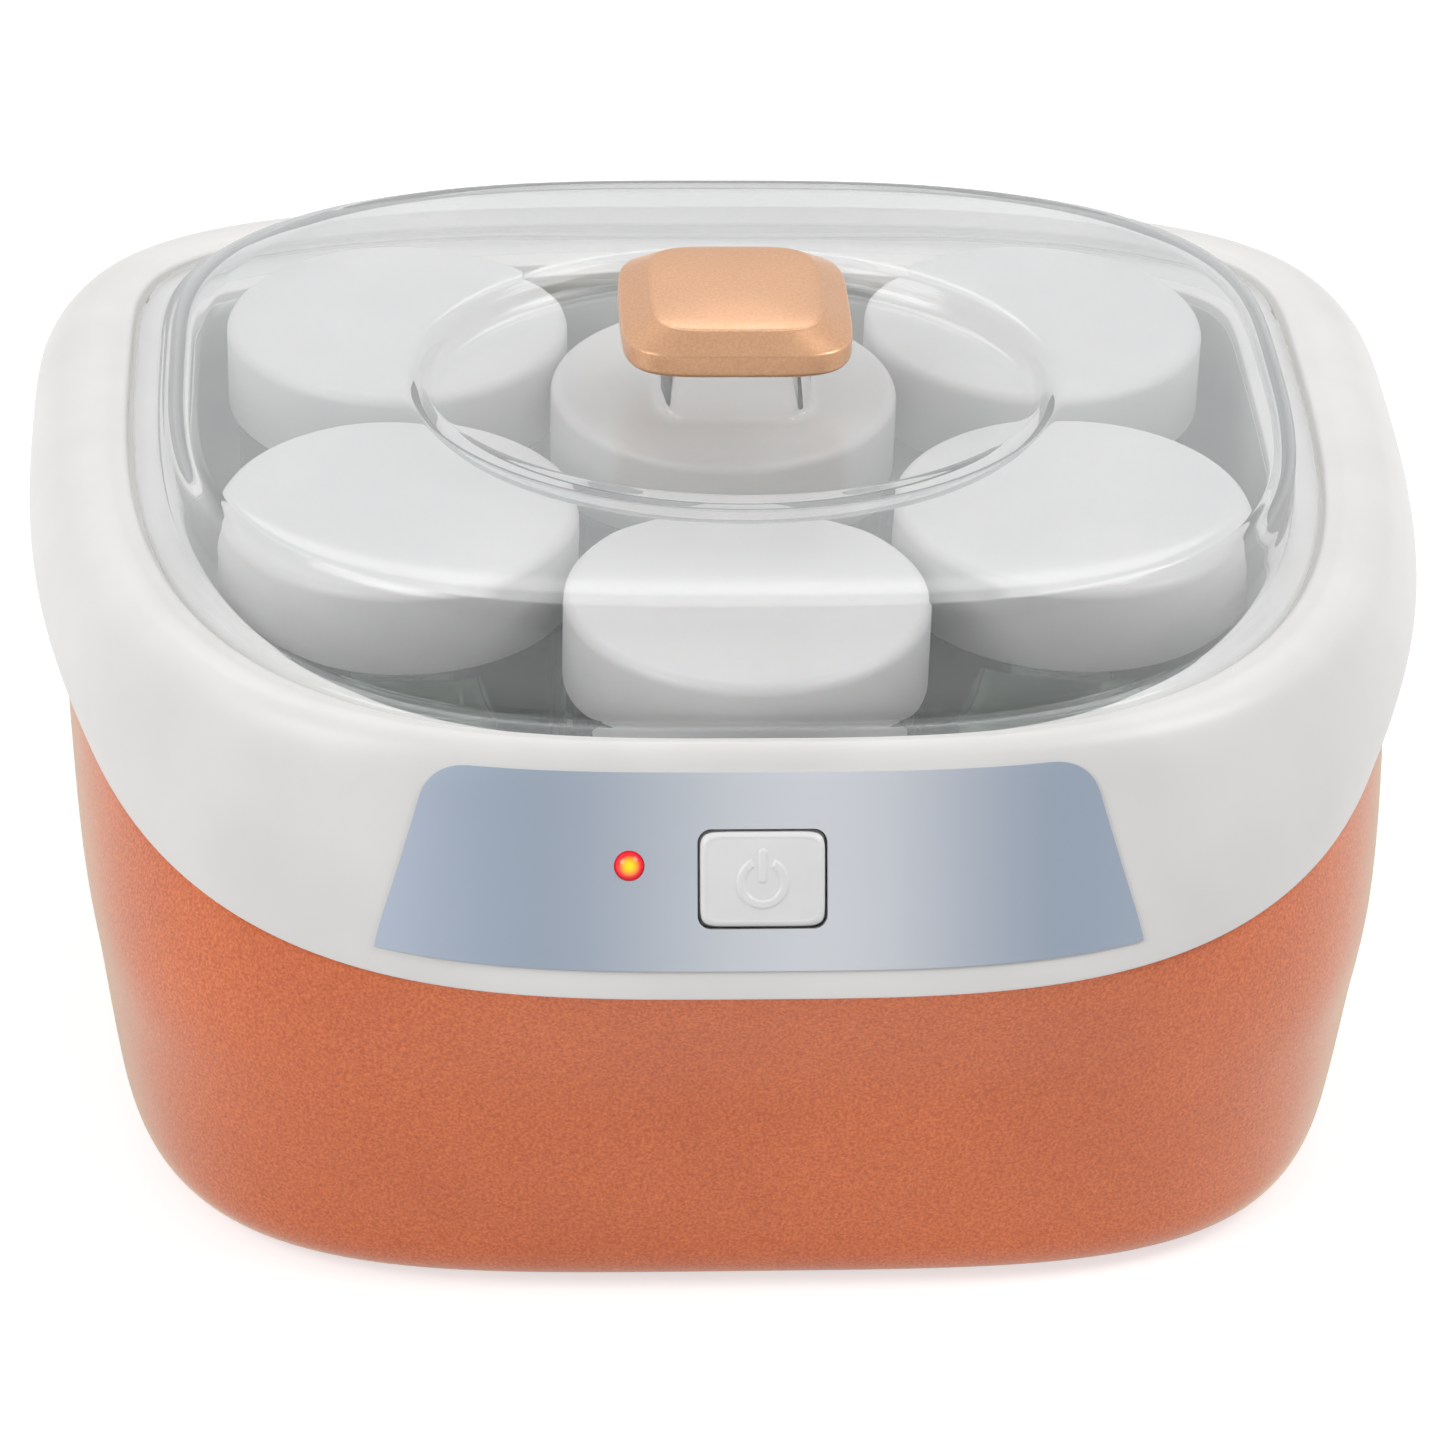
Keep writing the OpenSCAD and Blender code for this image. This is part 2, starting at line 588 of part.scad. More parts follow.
// ---- Cover and knob ----
pedestal_top_z = 141;
pedestal_w = 28;
pedestal_depth = 28;
module cover_shell() {
    dish_z = 129.5;
    under = dish_z - cover_t;
    outside = [
        flat_station(112.4, -93.6, 104, ledge_z + 0.3, 3, 4.2),
        flat_station(112.5, -93.7, 104.1, 110.8, 3, 4.2),
        flat_station(111.7, -93, 103.2, 111.9, 3, 4.2),
        flat_station(109.4, -91.4, 100, 112.3, 3, 4),
        flat_station(107.8, -90.3, 97.4, 113.6, 3, 3.9),
        flat_station(106.2, -89, 94, 121, 3, 3.5, 35),
        flat_station(104, -87.2, 88.4, 128.6, 3, 3.1, 16),
        flat_station(101.4, -85.6, 83.6, 132, 3, 3, 6),
        flat_station(97.2, -82.4, 79.8, 133.6, 3, 2.9, 0),
        flat_station(85, -72, 68, 134.4, 2.8, 2.7, 0),
        flat_station(72, -60, 56, 134.9, 2.5, 2.5, 0)];
    inside = [
        flat_station(72, -60, 56, 134.9 - cover_t, 2.5, 2.5, 0),
        flat_station(85, -72, 68, 134.4 - cover_t, 2.8, 2.7, 0),
        flat_station(96.4, -81.6, 79, 133.6 - cover_t, 3, 2.9, 0),
        flat_station(99.4, -83.8, 81.6, 130.7, 3, 3, 6),
        flat_station(101.8, -85.1, 86.2, 127.8, 3, 3.1, 16),
        flat_station(104, -86.8, 91.8, 120.6, 3, 3.5, 35),
        flat_station(105.6, -88.1, 95.2, 113, 3, 3.9),
        flat_station(106, -88.5, 96, ledge_z + 0.3, 3, 4)];
    color("#C8D6D2", 0.45) difference() {
        union() {
            capped_shell(concat(
                [oval_ring(24, 20, under), oval_ring(56.4, 46, under + 0.1),
                    oval_ring(58.6, 48.2, under + 0.9), oval_ring(60.2, 49.8, 132.6)],
                rings_through(inside, 1),
                rings_through(outside, 2),
                [oval_ring(59.4, 49, 135), oval_ring(57.8, 47.4, 134.4),
                    oval_ring(56.2, 45.8, dish_z + 0.9), oval_ring(54, 43.6, dish_z),
                    oval_ring(24, 20, dish_z)]));
            translate([0, knob_y, dish_z - 1]) rounded_block(pedestal_w, pedestal_depth, 4,
                pedestal_top_z - dish_z + 1);
            translate([0, knob_y, dish_z - 1]) rounded_block(pedestal_w + 3, pedestal_depth + 3,
                5, 2.2);
        }
        translate([0, knob_y, under - 1]) rounded_block(pedestal_w - 2 * cover_t,
            pedestal_depth - 2 * cover_t, 3, pedestal_top_z - cover_t - under + 1);
        translate([0, knob_y, under]) cylinder(d = 4.4, h = 20);
    }
}

module knob() {
    foot_z = pedestal_top_z + seat;
    half = knob_w / 2;
    deep = knob_depth / 2;
    function level(side, end, z, n) = ring_at(flat_station(half - side, knob_y - deep + end,
        knob_y + deep - end, z, n, n, knob_y), n);
    color("#E6BC9C") difference() {
        capped_shell([level(2.5, 2.5, foot_z, 4.8), level(1, 1, foot_z + 0.2, 4.8),
            level(0.2, 0.2, foot_z + 0.9, 4.8), level(0, 0, foot_z + 1.8, 4.8),
            level(0.1, 0.1, foot_z + 4.4, 4.8), level(0.8, 0.7, foot_z + 5.1, 4.8),
            level(5.6, 4.2, knob_top_z - 1, 4.6), level(6.4, 5, knob_top_z - 0.6, 4.6),
            level(8.4, 7, knob_top_z - 0.35, 4.4), level(13, 12, knob_top_z, 3)]);
        translate([0, knob_y, foot_z - 1]) cylinder(d = 3.7, h = 7);
    }
}

module knob_screw() {
    color("#9B9EA0") translate([0, knob_y, pedestal_top_z - cover_t - 1 - 2 * seat])
        screw(3.6, 8.4, 7.6, 2.8);
}

module knob_washer() {
    color("#B4B7B8") translate([0, knob_y, pedestal_top_z - cover_t - 1 - seat]) difference() {
        cylinder(d = 9.4, h = 1);
        translate([0, 0, -1]) cylinder(d = 4.2, h = 3);
    }
}

// ---- Jars and their lids ----
jar_foot_z = floor_z + 0.3;
jar_top_z = lid_top_z - 4.5;
module jar(k) {
    r = jar_d / 2;
    shoulder_z = lid_top_z - lid_skirt - 2;
    color("#CFE0DA", 0.5) translate([jar_places[k][0], jar_places[k][1], 0])
        rotate_extrude($fn = 96) difference() {
            union() {
                translate([0, jar_foot_z]) square([r - 4, 20]);
                translate([r - 4, jar_foot_z + 4]) circle(r = 4);
                translate([0, jar_foot_z + 4]) square([r, shoulder_z - jar_foot_z - 4]);
                translate([0, shoulder_z - 1]) square([r - 1.2, jar_top_z - shoulder_z + 0.4]);
                translate([0, jar_top_z - 1.2]) square([r - 2, 1.2]);
                translate([r - 2, jar_top_z - 0.8]) circle(r = 0.8);
                translate([r - 1.2, jar_top_z - 4]) circle(r = 1.1);
            }
            translate([-10, jar_foot_z + 4 + 4]) square([r - glass + 10, 70]);
            translate([-10, jar_foot_z + 4]) square([r - glass - 4 + 10, 20]);
            translate([r - glass - 4, jar_foot_z + 8]) circle(r = 4);
            translate([-50, 0]) square([50, 150]);
        }
}

module jar_lid(k) {
    r = lid_d / 2;
    t = 1.4;
    edge = 1.8;
    color("#E4E6E4") translate([jar_places[k][0], jar_places[k][1], 0])
        rotate_extrude($fn = 96) difference() {
            union() {
                translate([0, lid_top_z - lid_skirt]) square([r, lid_skirt - edge]);
                translate([0, lid_top_z - 5]) square([r - edge, 5]);
                translate([r - edge, lid_top_z - edge]) circle(r = edge);
            }
            translate([-1, lid_top_z - lid_skirt - 1]) square([r - t + 1, lid_skirt + 1 - 1.6]);
            translate([-50, 0]) square([50, 150]);
        }
}

module lid_seal(k) {
    r = lid_d / 2 - 1.4 - seat;
    color("#F4F4F0") translate([jar_places[k][0], jar_places[k][1], jar_top_z + 0.4]) difference() {
        cylinder(r = r, h = 2.4);
        translate([0, 0, -1]) cylinder(r = r - 7, h = 5);
    }
}

outer_body();
collar();
inner_pan();
pan_screws();
heat_spreader();
ptc_heater();
heater_bracket();
bracket_screws();
thermostat();
thermal_fuse();
heater_leads();
control_board();
board_screws();
indicator_lamp();
lamp_sleeve();
power_switch();
panel_plate();
body_screws();
base_plate();
base_screws();
feet();
cord_bushing();
cord_clamp();
clamp_screws();
terminal_block();
supply_leads();
power_button();
cover_shell();
knob();
knob_screw();
knob_washer();
jar(0);  // jar_1
jar(1);  // jar_2
jar(2);  // jar_3
jar(3);  // jar_4
jar(4);  // jar_5
jar(5);  // jar_6
jar_lid(0);  // jar_lid_1
jar_lid(1);  // jar_lid_2
jar_lid(2);  // jar_lid_3
jar_lid(3);  // jar_lid_4
jar_lid(4);  // jar_lid_5
jar_lid(5);  // jar_lid_6
lid_seal(0);  // lid_seal_1
lid_seal(1);  // lid_seal_2
lid_seal(2);  // lid_seal_3
lid_seal(3);  // lid_seal_4
lid_seal(4);  // lid_seal_5
lid_seal(5);  // lid_seal_6
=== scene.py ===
# %% [markdown]
# ## The part and its frame
# This is a six-jar yogurt maker: a copper-lacquered casing, a white collar with a sloping control
# panel, a clear lift-off cover and six glass jars with milky lids. The CAD model gives every place
# and every moving body. The cells below dress it: the big mouldings are worked out again as fine
# smooth surfaces, the small inner parts keep their CAD solids, and each gets its own finish.

import json
import math

import bpy
import numpy as np
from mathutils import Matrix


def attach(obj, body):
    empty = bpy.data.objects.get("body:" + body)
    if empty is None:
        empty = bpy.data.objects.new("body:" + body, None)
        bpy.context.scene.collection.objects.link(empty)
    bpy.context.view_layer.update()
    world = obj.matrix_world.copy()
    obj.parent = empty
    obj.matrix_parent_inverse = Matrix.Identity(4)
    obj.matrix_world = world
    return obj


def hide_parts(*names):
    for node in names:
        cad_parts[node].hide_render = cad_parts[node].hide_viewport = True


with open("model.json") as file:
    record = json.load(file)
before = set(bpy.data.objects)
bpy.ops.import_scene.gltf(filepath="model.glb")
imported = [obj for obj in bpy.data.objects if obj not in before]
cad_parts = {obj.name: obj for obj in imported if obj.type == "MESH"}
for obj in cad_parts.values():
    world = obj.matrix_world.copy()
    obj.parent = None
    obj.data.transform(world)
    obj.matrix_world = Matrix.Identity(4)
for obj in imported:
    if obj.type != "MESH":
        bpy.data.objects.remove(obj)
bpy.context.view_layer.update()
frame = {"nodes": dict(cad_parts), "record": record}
nodes = frame["nodes"]
MM = 0.001


def placed(name, data):
    """A new object in the scene, at the origin."""
    made = bpy.data.objects.new(name, data)
    bpy.context.scene.collection.objects.link(made)
    return made


# %% [markdown]
# ## Camera
# The object is seen from the front and a little above with a long lens, so its sides stay nearly
# parallel. The camera stands 4 degrees to the left and is rolled by 2 degrees. The focal length
# gives the near and far lids their sizes.

# %% Camera
IMAGE_PX, FOCAL_PX, SENSOR_MM = 1445, 5636, 36
CAMERA_TURN = (58.81, -1.53, -3.09)
camera_data = bpy.data.cameras.new("camera")
camera_data.sensor_width = SENSOR_MM
camera_data.lens = FOCAL_PX / IMAGE_PX * SENSOR_MM
camera_data.clip_end = 50
camera = placed("camera", camera_data)
camera.location = (-0.06497, -0.92501, 0.61844)
camera.rotation_euler = [math.radians(turn) for turn in CAMERA_TURN]
bpy.context.scene.camera = camera
print("lens", round(camera_data.lens, 1), "mm")

# %% [markdown]
# ## Levels, rings and surfaces
# All the big mouldings are shells with a rounded-oblong outline that is a little wider behind the
# middle. One level of such a shell is nine numbers. A ring is the closed row of points at that
# level, and a shell is a stack of rings, so a grid of quads covers it with no gap.

# %% Rings
COLUMNS = 288
WIDEST_Y = 50.0


def level(half_w, front, rear, z0, z1=None, n=(3, 5), widest=WIDEST_Y, side=3.0):
    """One level: half width, front and rear y, heights at front and rear, the squareness of the
    front and rear halves, where it is widest, and the squareness of its sides. In mm."""
    return (half_w, front, rear, z0, z0 if z1 is None else z1, n[0], n[1], widest, side)


def oval(half_w, half_d, z, middle, n=2.0):
    """A level that is an ellipse (n 2), or a rounded rectangle (larger n), about a middle."""
    return level(half_w, middle - half_d, middle + half_d, z, n=(n, n), widest=middle, side=n)


def ring(station, columns=COLUMNS):
    """A closed ring of points at one level. Seen from above it is a superellipse: the side term
    |x / half width| to the power 'side' and the depth term |y - widest| / reach to the power n
    add up to one. Height rises evenly from front to rear. Points are evenly spaced along it,
    counter-clockwise from the middle of the rear."""
    half_w, front, rear, z0, z1, n_front, n_rear, widest, side = station
    turn = np.linspace(0.5 * np.pi, 2.5 * np.pi, 6001)
    c, s = np.cos(turn), np.sin(turn)
    reach = np.where(s < 0, widest - front, rear - widest)
    n = np.where(s < 0, n_front, n_rear)
    x = half_w * np.sign(c) * np.abs(c) ** (2 / side)
    y = widest + reach * np.sign(s) * np.abs(s) ** (2 / n)
    run = np.concatenate([[0], np.cumsum(np.hypot(np.diff(x), np.diff(y)))])
    stops = np.linspace(0, run[-1], columns, endpoint=False)
    x, y = np.interp(stops, run, x), np.interp(stops, run, y)
    return np.stack([x, y, z0 + (z1 - z0) * (y - front) / (rear - front)], 1)


def through(stations, steps):
    """Levels on a smooth curve through the given ones: between two of them each number follows a
    cubic whose slopes come from the neighbours (Catmull-Rom)."""
    p = np.asarray(stations, float)
    u = np.linspace(0, len(p) - 1, (len(p) - 1) * steps + 1)
    i = np.minimum(u.astype(int), len(p) - 2)
    f = (u - i)[:, None]
    a, b, c, d = p[np.maximum(i - 1, 0)], p[i], p[i + 1], p[np.minimum(i + 2, len(p) - 1)]
    return b + f / 2 * ((c - a) + f * ((2 * a - 5 * b + 4 * c - d) + f * (3 * b - a - 3 * c + d)))


def rounded(before, corner, after, radius, steps=5):
    """Levels that round the corner between three levels: a quadratic curve that leaves towards
    'before' and arrives from 'after', each at 'radius' mm from the corner."""
    before, corner, after = (np.asarray(v, float) for v in (before, corner, after))

    def pull(other):
        gap = np.hypot(other[1] - corner[1], other[3] - corner[3])
        return corner + (other - corner) * min(1.0, radius / max(gap, 1e-6))
    start, end = pull(before), pull(after)
    f = np.linspace(0, 1, steps + 1)[:, None]
    return (1 - f) ** 2 * start + 2 * f * (1 - f) * corner + f ** 2 * end


# %% Meshes from grids
def grid_faces(rows, columns, wrap_rows=False, wrap_columns=True):
    """Quads between neighbouring points of a grid that is stored row by row."""
    j, i = np.mgrid[0:rows - (not wrap_rows), 0:columns - (not wrap_columns)]
    a, b = j * columns + i, j * columns + (i + 1) % columns
    up = (j + 1) % rows * columns
    return np.stack([a, b, up + (i + 1) % columns, up + i], -1).reshape(-1, 4)


def mesh_from(name, points, *face_sets):
    """A mesh from an array of points in mm and arrays of faces."""
    sizes = np.concatenate([np.full(len(f), f.shape[1]) for f in face_sets])
    corners = np.concatenate([f.ravel() for f in face_sets]).astype(np.int32)
    mesh = bpy.data.meshes.new(name)
    mesh.vertices.add(len(points))
    mesh.vertices.foreach_set("co", (np.asarray(points) * MM).ravel().astype(np.float32))
    mesh.loops.add(len(corners))
    mesh.loops.foreach_set("vertex_index", corners)
    mesh.polygons.add(len(sizes))
    starts = np.concatenate([[0], np.cumsum(sizes)[:-1]]).astype(np.int32)
    mesh.polygons.foreach_set("loop_start", starts)
    mesh.update(calc_edges=True)
    mesh.validate()
    return mesh


def smooth(mesh, crease=38):
    """Smooth shading, with edges sharper than 'crease' degrees kept crisp."""
    mesh.polygons.foreach_set("use_smooth", np.ones(len(mesh.polygons), bool))
    mesh.set_sharp_from_angle(angle=math.radians(crease))


def add_piece(name, mesh, body, finish, stands_for=(), crease=38):
    """A piece of the object: a mesh at the origin that rides on a body and has one finish."""
    smooth(mesh, crease)
    piece = placed(name, mesh)
    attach(piece, body)
    if stands_for:
        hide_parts(*stands_for)
    finish_on(piece, finish)
    print(name, len(mesh.polygons), "faces")
    return piece


def ring_points(levels, columns=COLUMNS):
    return np.concatenate([ring(s, columns) for s in levels])


def hoop_mesh(name, levels, columns=COLUMNS):
    """A shell whose wall goes right round in section, so its last ring joins its first."""
    return mesh_from(name, ring_points(levels, columns),
                     grid_faces(len(levels), columns, wrap_rows=True))


def fanned_mesh(name, rows, middles, columns):
    """A stack of rings whose first and last rings are filled by fans of triangles, each about a
    middle point of its own."""
    count = len(rows)
    i = np.arange(columns)
    after, last = (i + 1) % columns, count - columns
    fans = [np.stack([after, i, np.full(columns, count)], 1),
            np.stack([last + i, last + after, np.full(columns, count + 1)], 1)]
    return mesh_from(name, np.vstack([rows, middles]), grid_faces(count // columns, columns),
                     *fans)


def capped_mesh(name, levels, columns=COLUMNS):
    """A shell that closes at both ends in the middle of its first and last rings."""
    rows = ring_points(levels, columns)
    return fanned_mesh(name, rows, [rows[:columns].mean(0), rows[-columns:].mean(0)], columns)


def turned_mesh(name, profile, x, y, columns=128):
    """A turned shape: a profile of (radius, height) points carried round a vertical axis, up the
    outside. One that starts and ends on the axis is closed there by fans. Any other closes on
    itself."""
    profile = np.asarray(profile, float)
    on_axis = profile[0, 0] == 0
    rows = profile[1:-1] if on_axis else profile
    a = np.linspace(0, 2 * np.pi, columns, endpoint=False)
    r, z = rows[:, 0][:, None], rows[:, 1][:, None]
    points = np.stack([x + r * np.cos(a), y + r * np.sin(a), z + 0 * a], -1).reshape(-1, 3)
    if on_axis:
        return fanned_mesh(name, points, [[x, y, profile[0, 1]], [x, y, profile[-1, 1]]], columns)
    return mesh_from(name, points, grid_faces(len(rows), columns, wrap_rows=True))


def arc(cx, cz, radius, start, end, steps=8):
    """Points on a circle in a profile, from one angle to another in degrees."""
    a = np.radians(np.linspace(start, end, steps + 1))
    return np.stack([cx + radius * np.cos(a), cz + radius * np.sin(a)], 1)


# %% [markdown]
# ## Colours and nodes
# Colours are written as the hex values that a paint chart or a screen shows. Shaders work in
# linear light, so one function converts them. Another adds a node with its settings and links.

# %% Colours and nodes
def colour(code):
    """A hex sRGB colour as linear red, green, blue and an alpha of one."""
    c = np.array([int(code[i:i + 2], 16) for i in (1, 3, 5)]) / 255
    return (*np.where(c <= 0.04045, c / 12.92, ((c + 0.055) / 1.055) ** 2.4), 1.0)


def node(tree, kind, links=(), **settings):
    """Adds a node. Names that are its own attributes are set on it; 'in_N' or 'in_Name' sets an
    input; links are (input, output socket) pairs."""
    made = tree.nodes.new(kind)
    for key, value in settings.items():
        if key.startswith("in_"):
            key = key[3:].replace("_", " ")
            made.inputs[int(key) if key.isdigit() else key].default_value = value
        else:
            setattr(made, key, value)
    for key, socket in links:
        tree.links.new(socket, made.inputs[key])
    return made


def per_mm(size):
    """The scale of a noise whose features are 'size' mm across, on coordinates in metres."""
    return 1000 / size


def new_finish(name):
    """An empty material, its node tree and the place of each point on the object."""
    material = bpy.data.materials.new(name)
    material.use_nodes = True
    tree = material.node_tree
    tree.nodes.clear()
    place = node(tree, "ShaderNodeTexCoord").outputs["Object"]
    return material, tree, place


def ranged(tree, value, source, target):
    """A value carried from one range to another and held at the ends."""
    return node(tree, "ShaderNodeMapRange", [("Value", value)], in_From_Min=source[0],
                in_From_Max=source[1], in_To_Min=target[0],
                in_To_Max=target[1]).outputs["Result"]


def ramp(tree, share, stops, run="LINEAR"):
    """A colour that follows a share through stops of (position, hex colour)."""
    made = node(tree, "ShaderNodeValToRGB", [("Fac", share)])
    made.color_ramp.interpolation = run
    elements = made.color_ramp.elements
    while len(elements) < len(stops):
        elements.new(0.5)
    for element, (position, code) in zip(elements, stops):
        element.position = position
        element.color = colour(code)
    return made.outputs["Color"]


def mottle(tree, place, size, low, high, detail=3.0, spread=(0.35, 0.65)):
    """A soft variation between two hex colours over patches 'size' mm across."""
    patches = node(tree, "ShaderNodeTexNoise", [("Vector", place)], in_Scale=per_mm(size),
                   in_Detail=detail)
    return ramp(tree, patches.outputs["Fac"], [(spread[0], low), (spread[1], high)])


def relief(tree, place, size, height, detail=2.0):
    """A bump of 'height' mm over grains 'size' mm across."""
    grains = node(tree, "ShaderNodeTexNoise", [("Vector", place)], in_Scale=per_mm(size),
                  in_Detail=detail)
    return node(tree, "ShaderNodeBump", [("Height", grains.outputs["Fac"])], in_Strength=1.0,
                in_Distance=height * MM).outputs["Normal"]


def principled(tree, links, **settings):
    """The shader for one solid or clear surface."""
    return node(tree, "ShaderNodeBsdfPrincipled", links, **settings).outputs["BSDF"]


def blend(tree, share, first, second):
    """The first shader, and the second where the share is one."""
    return node(tree, "ShaderNodeMixShader", [("Fac", share), (1, first), (2, second)]).outputs[0]


def any_ray(tree, first, *others):
    """One for rays of the kinds that are named, zero for all the rest."""
    path = node(tree, "ShaderNodeLightPath")
    found = path.outputs[f"Is {first} Ray"]
    for kind in others:
        found = node(tree, "ShaderNodeMath", [(0, found), (1, path.outputs[f"Is {kind} Ray"])],
                     operation="MAXIMUM").outputs[0]
    return found


def close_finish(tree, shader):
    node(tree, "ShaderNodeOutputMaterial", [("Surface", shader)])


def plain_finish(name, low, high, patch, grain, height, roughness, **sockets):
    """A solid finish: two close colours in patches, a fine grain in the surface, and roughness
    that varies a little with the patches."""
    material, tree, place = new_finish(name)
    shade = mottle(tree, place, patch, low, high)
    wear = node(tree, "ShaderNodeTexNoise", [("Vector", place)], in_Scale=per_mm(patch * 3))
    rough = ranged(tree, wear.outputs["Fac"], (0, 1), (roughness * 0.85, roughness * 1.15))
    shader = principled(tree, [("Base Color", shade), ("Roughness", rough),
                               ("Normal", relief(tree, place, grain, height))],
                        **{"in_" + key: value for key, value in sockets.items()})
    close_finish(tree, shader)
    return material


def finish_on(piece, finish):
    """Gives a piece its one finish."""
    piece.data.materials.clear()
    piece.data.materials.append(finish)


# %% [markdown]
# ## Finishes of the visible mouldings
# The casing is ABS sprayed with a copper lacquer full of fine flakes, which sparkle and give a
# granular look. The collar, the button and the lids are bare mouldings in whites that differ in
# warmth and gloss. The panel is a thin satin foil in blue-grey whose colour carries painted
# reflection: soft vertical bands of light and dark that stand in for the lamps mirrored in it.
# Grain that is too fine to show at this distance is drawn as coarse as it needs.

# %% Copper lacquer on moulded ABS
def copper_lacquer(name):
    """Sprayed metallic lacquer: flakes 0.5 mm across, drawn larger than the real 0.05 mm ones so
    that they show, over a slow change of tone."""
    material, tree, place = new_finish(name)
    flakes = mottle(tree, place, 0.55, "#BE501C", "#E87D40", 6.0, (0.3, 0.72))
    tone = mottle(tree, place, 40, "#F5F0ED", "#FFFFFF", 2.0)
    base = node(tree, "ShaderNodeMix", [(6, flakes), (7, tone)], data_type="RGBA",
                blend_type="MULTIPLY", in_0=1.0)
    shader = principled(tree, [("Base Color", base.outputs[2]),
                               ("Normal", relief(tree, place, 0.5, 0.012, 4.0))],
                        in_Metallic=0.25, in_Roughness=0.42, in_Coat_Weight=0.35,
                        in_Coat_Roughness=0.25, in_Sheen_Weight=1.0, in_Sheen_Roughness=0.35,
                        in_Sheen_Tint=colour("#EFF3DC"))
    close_finish(tree, shader)
    return material


casing_finish = copper_lacquer("copper lacquer on moulded ABS")
collar_finish = plain_finish("warm white ABS, satin moulded", "#DEDCDA", "#E2E1DF", 25, 0.25,
                             0.004, 0.36)
button_finish = plain_finish("white ABS, semi-gloss moulded", "#E4E3E3", "#E7E7E7", 12, 0.2,
                             0.002, 0.28)
lid_finish = plain_finish("milky polypropylene, moulded", "#D1D1D1", "#D6D6D6", 30, 0.3, 0.004,
                          0.42, Subsurface_Weight=0.15, Subsurface_Scale=0.002)


# %% Satin blue-grey foil
def panel_foil(name):
    """A metallised foil with a satin face and a very fine vertical brush. Its colour carries
    painted
    reflection: soft bands of light and dark about 30 mm apart across it, which stand in for the
    lamps mirrored in the foil."""
    material, tree, place = new_finish(name)
    across = node(tree, "ShaderNodeSeparateXYZ", [("Vector", place)])
    # Painted reflection: the light and dark stripes in this colour stand in for lamps mirrored in
    # the foil.
    painted_reflection_bands = ramp(tree, ranged(tree, across.outputs["X"], (-0.067, 0.067), (0, 1)),
                 [(0.0, "#BCC6D6"), (0.22, "#9DACC0"), (0.40, "#D2D9E2"), (0.56, "#EBEDF2"),
                  (0.70, "#D8DDE6"), (0.86, "#9DACC0"), (1.0, "#ADB9C9")], "B_SPLINE")
    stretch = node(tree, "ShaderNodeMapping", [("Vector", place)], in_Scale=(1, 0.02, 0.02))
    brush = relief(tree, stretch.outputs["Vector"], 0.12, 0.001, 2.0)
    shader = principled(tree, [("Base Color", painted_reflection_bands), ("Normal", brush)], in_Metallic=0.35,
                        in_Roughness=0.4)
    close_finish(tree, shader)
    return material


foil_finish = panel_foil("satin metallised foil")

# %% [markdown]
# ## Clear plastic and glass
# The cover is clear SAN plastic and the jars are pressed soda-lime glass. Both are closed walls of
# real thickness, so light bends at every face. Light that falls through them on its way to other
# pieces goes straight, which keeps the inside as bright as it is in life.

# %% Clear finishes
def let_light_pass(tree, surface, tint):
    """The surface for the eye, and plain see-through for light on its way to another one."""
    through_light = node(tree, "ShaderNodeBsdfTransparent", in_Color=colour(tint)).outputs[0]
    close_finish(tree, blend(tree, any_ray(tree, "Shadow", "Diffuse"), surface, through_light))


def clear_finish(name, tint, shade, ior, roughness, ripple):
    """A clear refracting wall with a slow ripple from moulding."""
    material, tree, place = new_finish(name)
    surface = principled(tree, [("Normal", relief(tree, place, 14, ripple, 1.0)),
                                ("Base Color", mottle(tree, place, 60, tint, shade))],
                         in_Roughness=roughness, in_IOR=ior, in_Transmission_Weight=1.0)
    let_light_pass(tree, surface, tint)
    return material


def veiled_plastic(name):
    """A thin clear moulding, drawn as a wall that bends light little, because the eye looks
    through both its faces at once. Its shine and a grey-white veil of fine scuffs both grow
    towards grazing sight."""
    material, tree, place = new_finish(name)
    wave = relief(tree, place, 14, 0.004, 1.0)
    slant = node(tree, "ShaderNodeLayerWeight", in_Blend=0.5).outputs["Facing"]
    steep = node(tree, "ShaderNodeMath", [(0, slant)], operation="POWER", in_1=3.0)
    shine_share = ranged(tree, steep.outputs[0], (0, 1), (0.03, 0.45))
    wall = node(tree, "ShaderNodeBsdfRefraction", [("Normal", wave)],
                in_Color=colour("#FCFCFC"), in_Roughness=0.03, in_IOR=1.05)
    shine = node(tree, "ShaderNodeBsdfAnisotropic", [("Normal", wave)],
                 in_Color=colour("#FFFFFF"), in_Roughness=0.15)
    clear = blend(tree, shine_share, wall.outputs[0], shine.outputs[0])
    veil_share = ranged(tree, slant, (0, 1), (0.06, 0.32))
    veil = node(tree, "ShaderNodeBsdfDiffuse",
                [("Color", mottle(tree, place, 30, "#D9DDDE", "#E2E5E5"))])
    let_light_pass(tree, blend(tree, veil_share, clear, veil.outputs[0]), "#FAFAFA")
    return material


cover_finish = veiled_plastic("clear SAN plastic, moulded")
glass_finish = clear_finish("soda-lime glass, pressed", "#EDF6F1", "#F3FAF6", 1.5, 0.02, 0.05)


# %% [markdown]
# ## Finishes of metals, lamp and inner parts
# The pan is drawn aluminium with a satin, slightly clouded surface. The knob is moulded plastic
# with a sputtered copper-gold metal skin. The lamp glows yellow in the middle of its red lens.
# Inner parts are seen when the part is taken apart, so each has a finish of its own too.

# %% Knob, pan and lamp
knob_finish = plain_finish("copper-gold metallised plastic", "#DBA479", "#E3B28D", 0.5, 0.35,
                           0.003, 0.36, Metallic=0.5, Coat_Weight=0.3, Coat_Roughness=0.3)
pan_finish = plain_finish("drawn aluminium, satin", "#D4D6D1", "#DDDFDA", 18, 0.4, 0.004, 0.42,
                          Metallic=0.5)


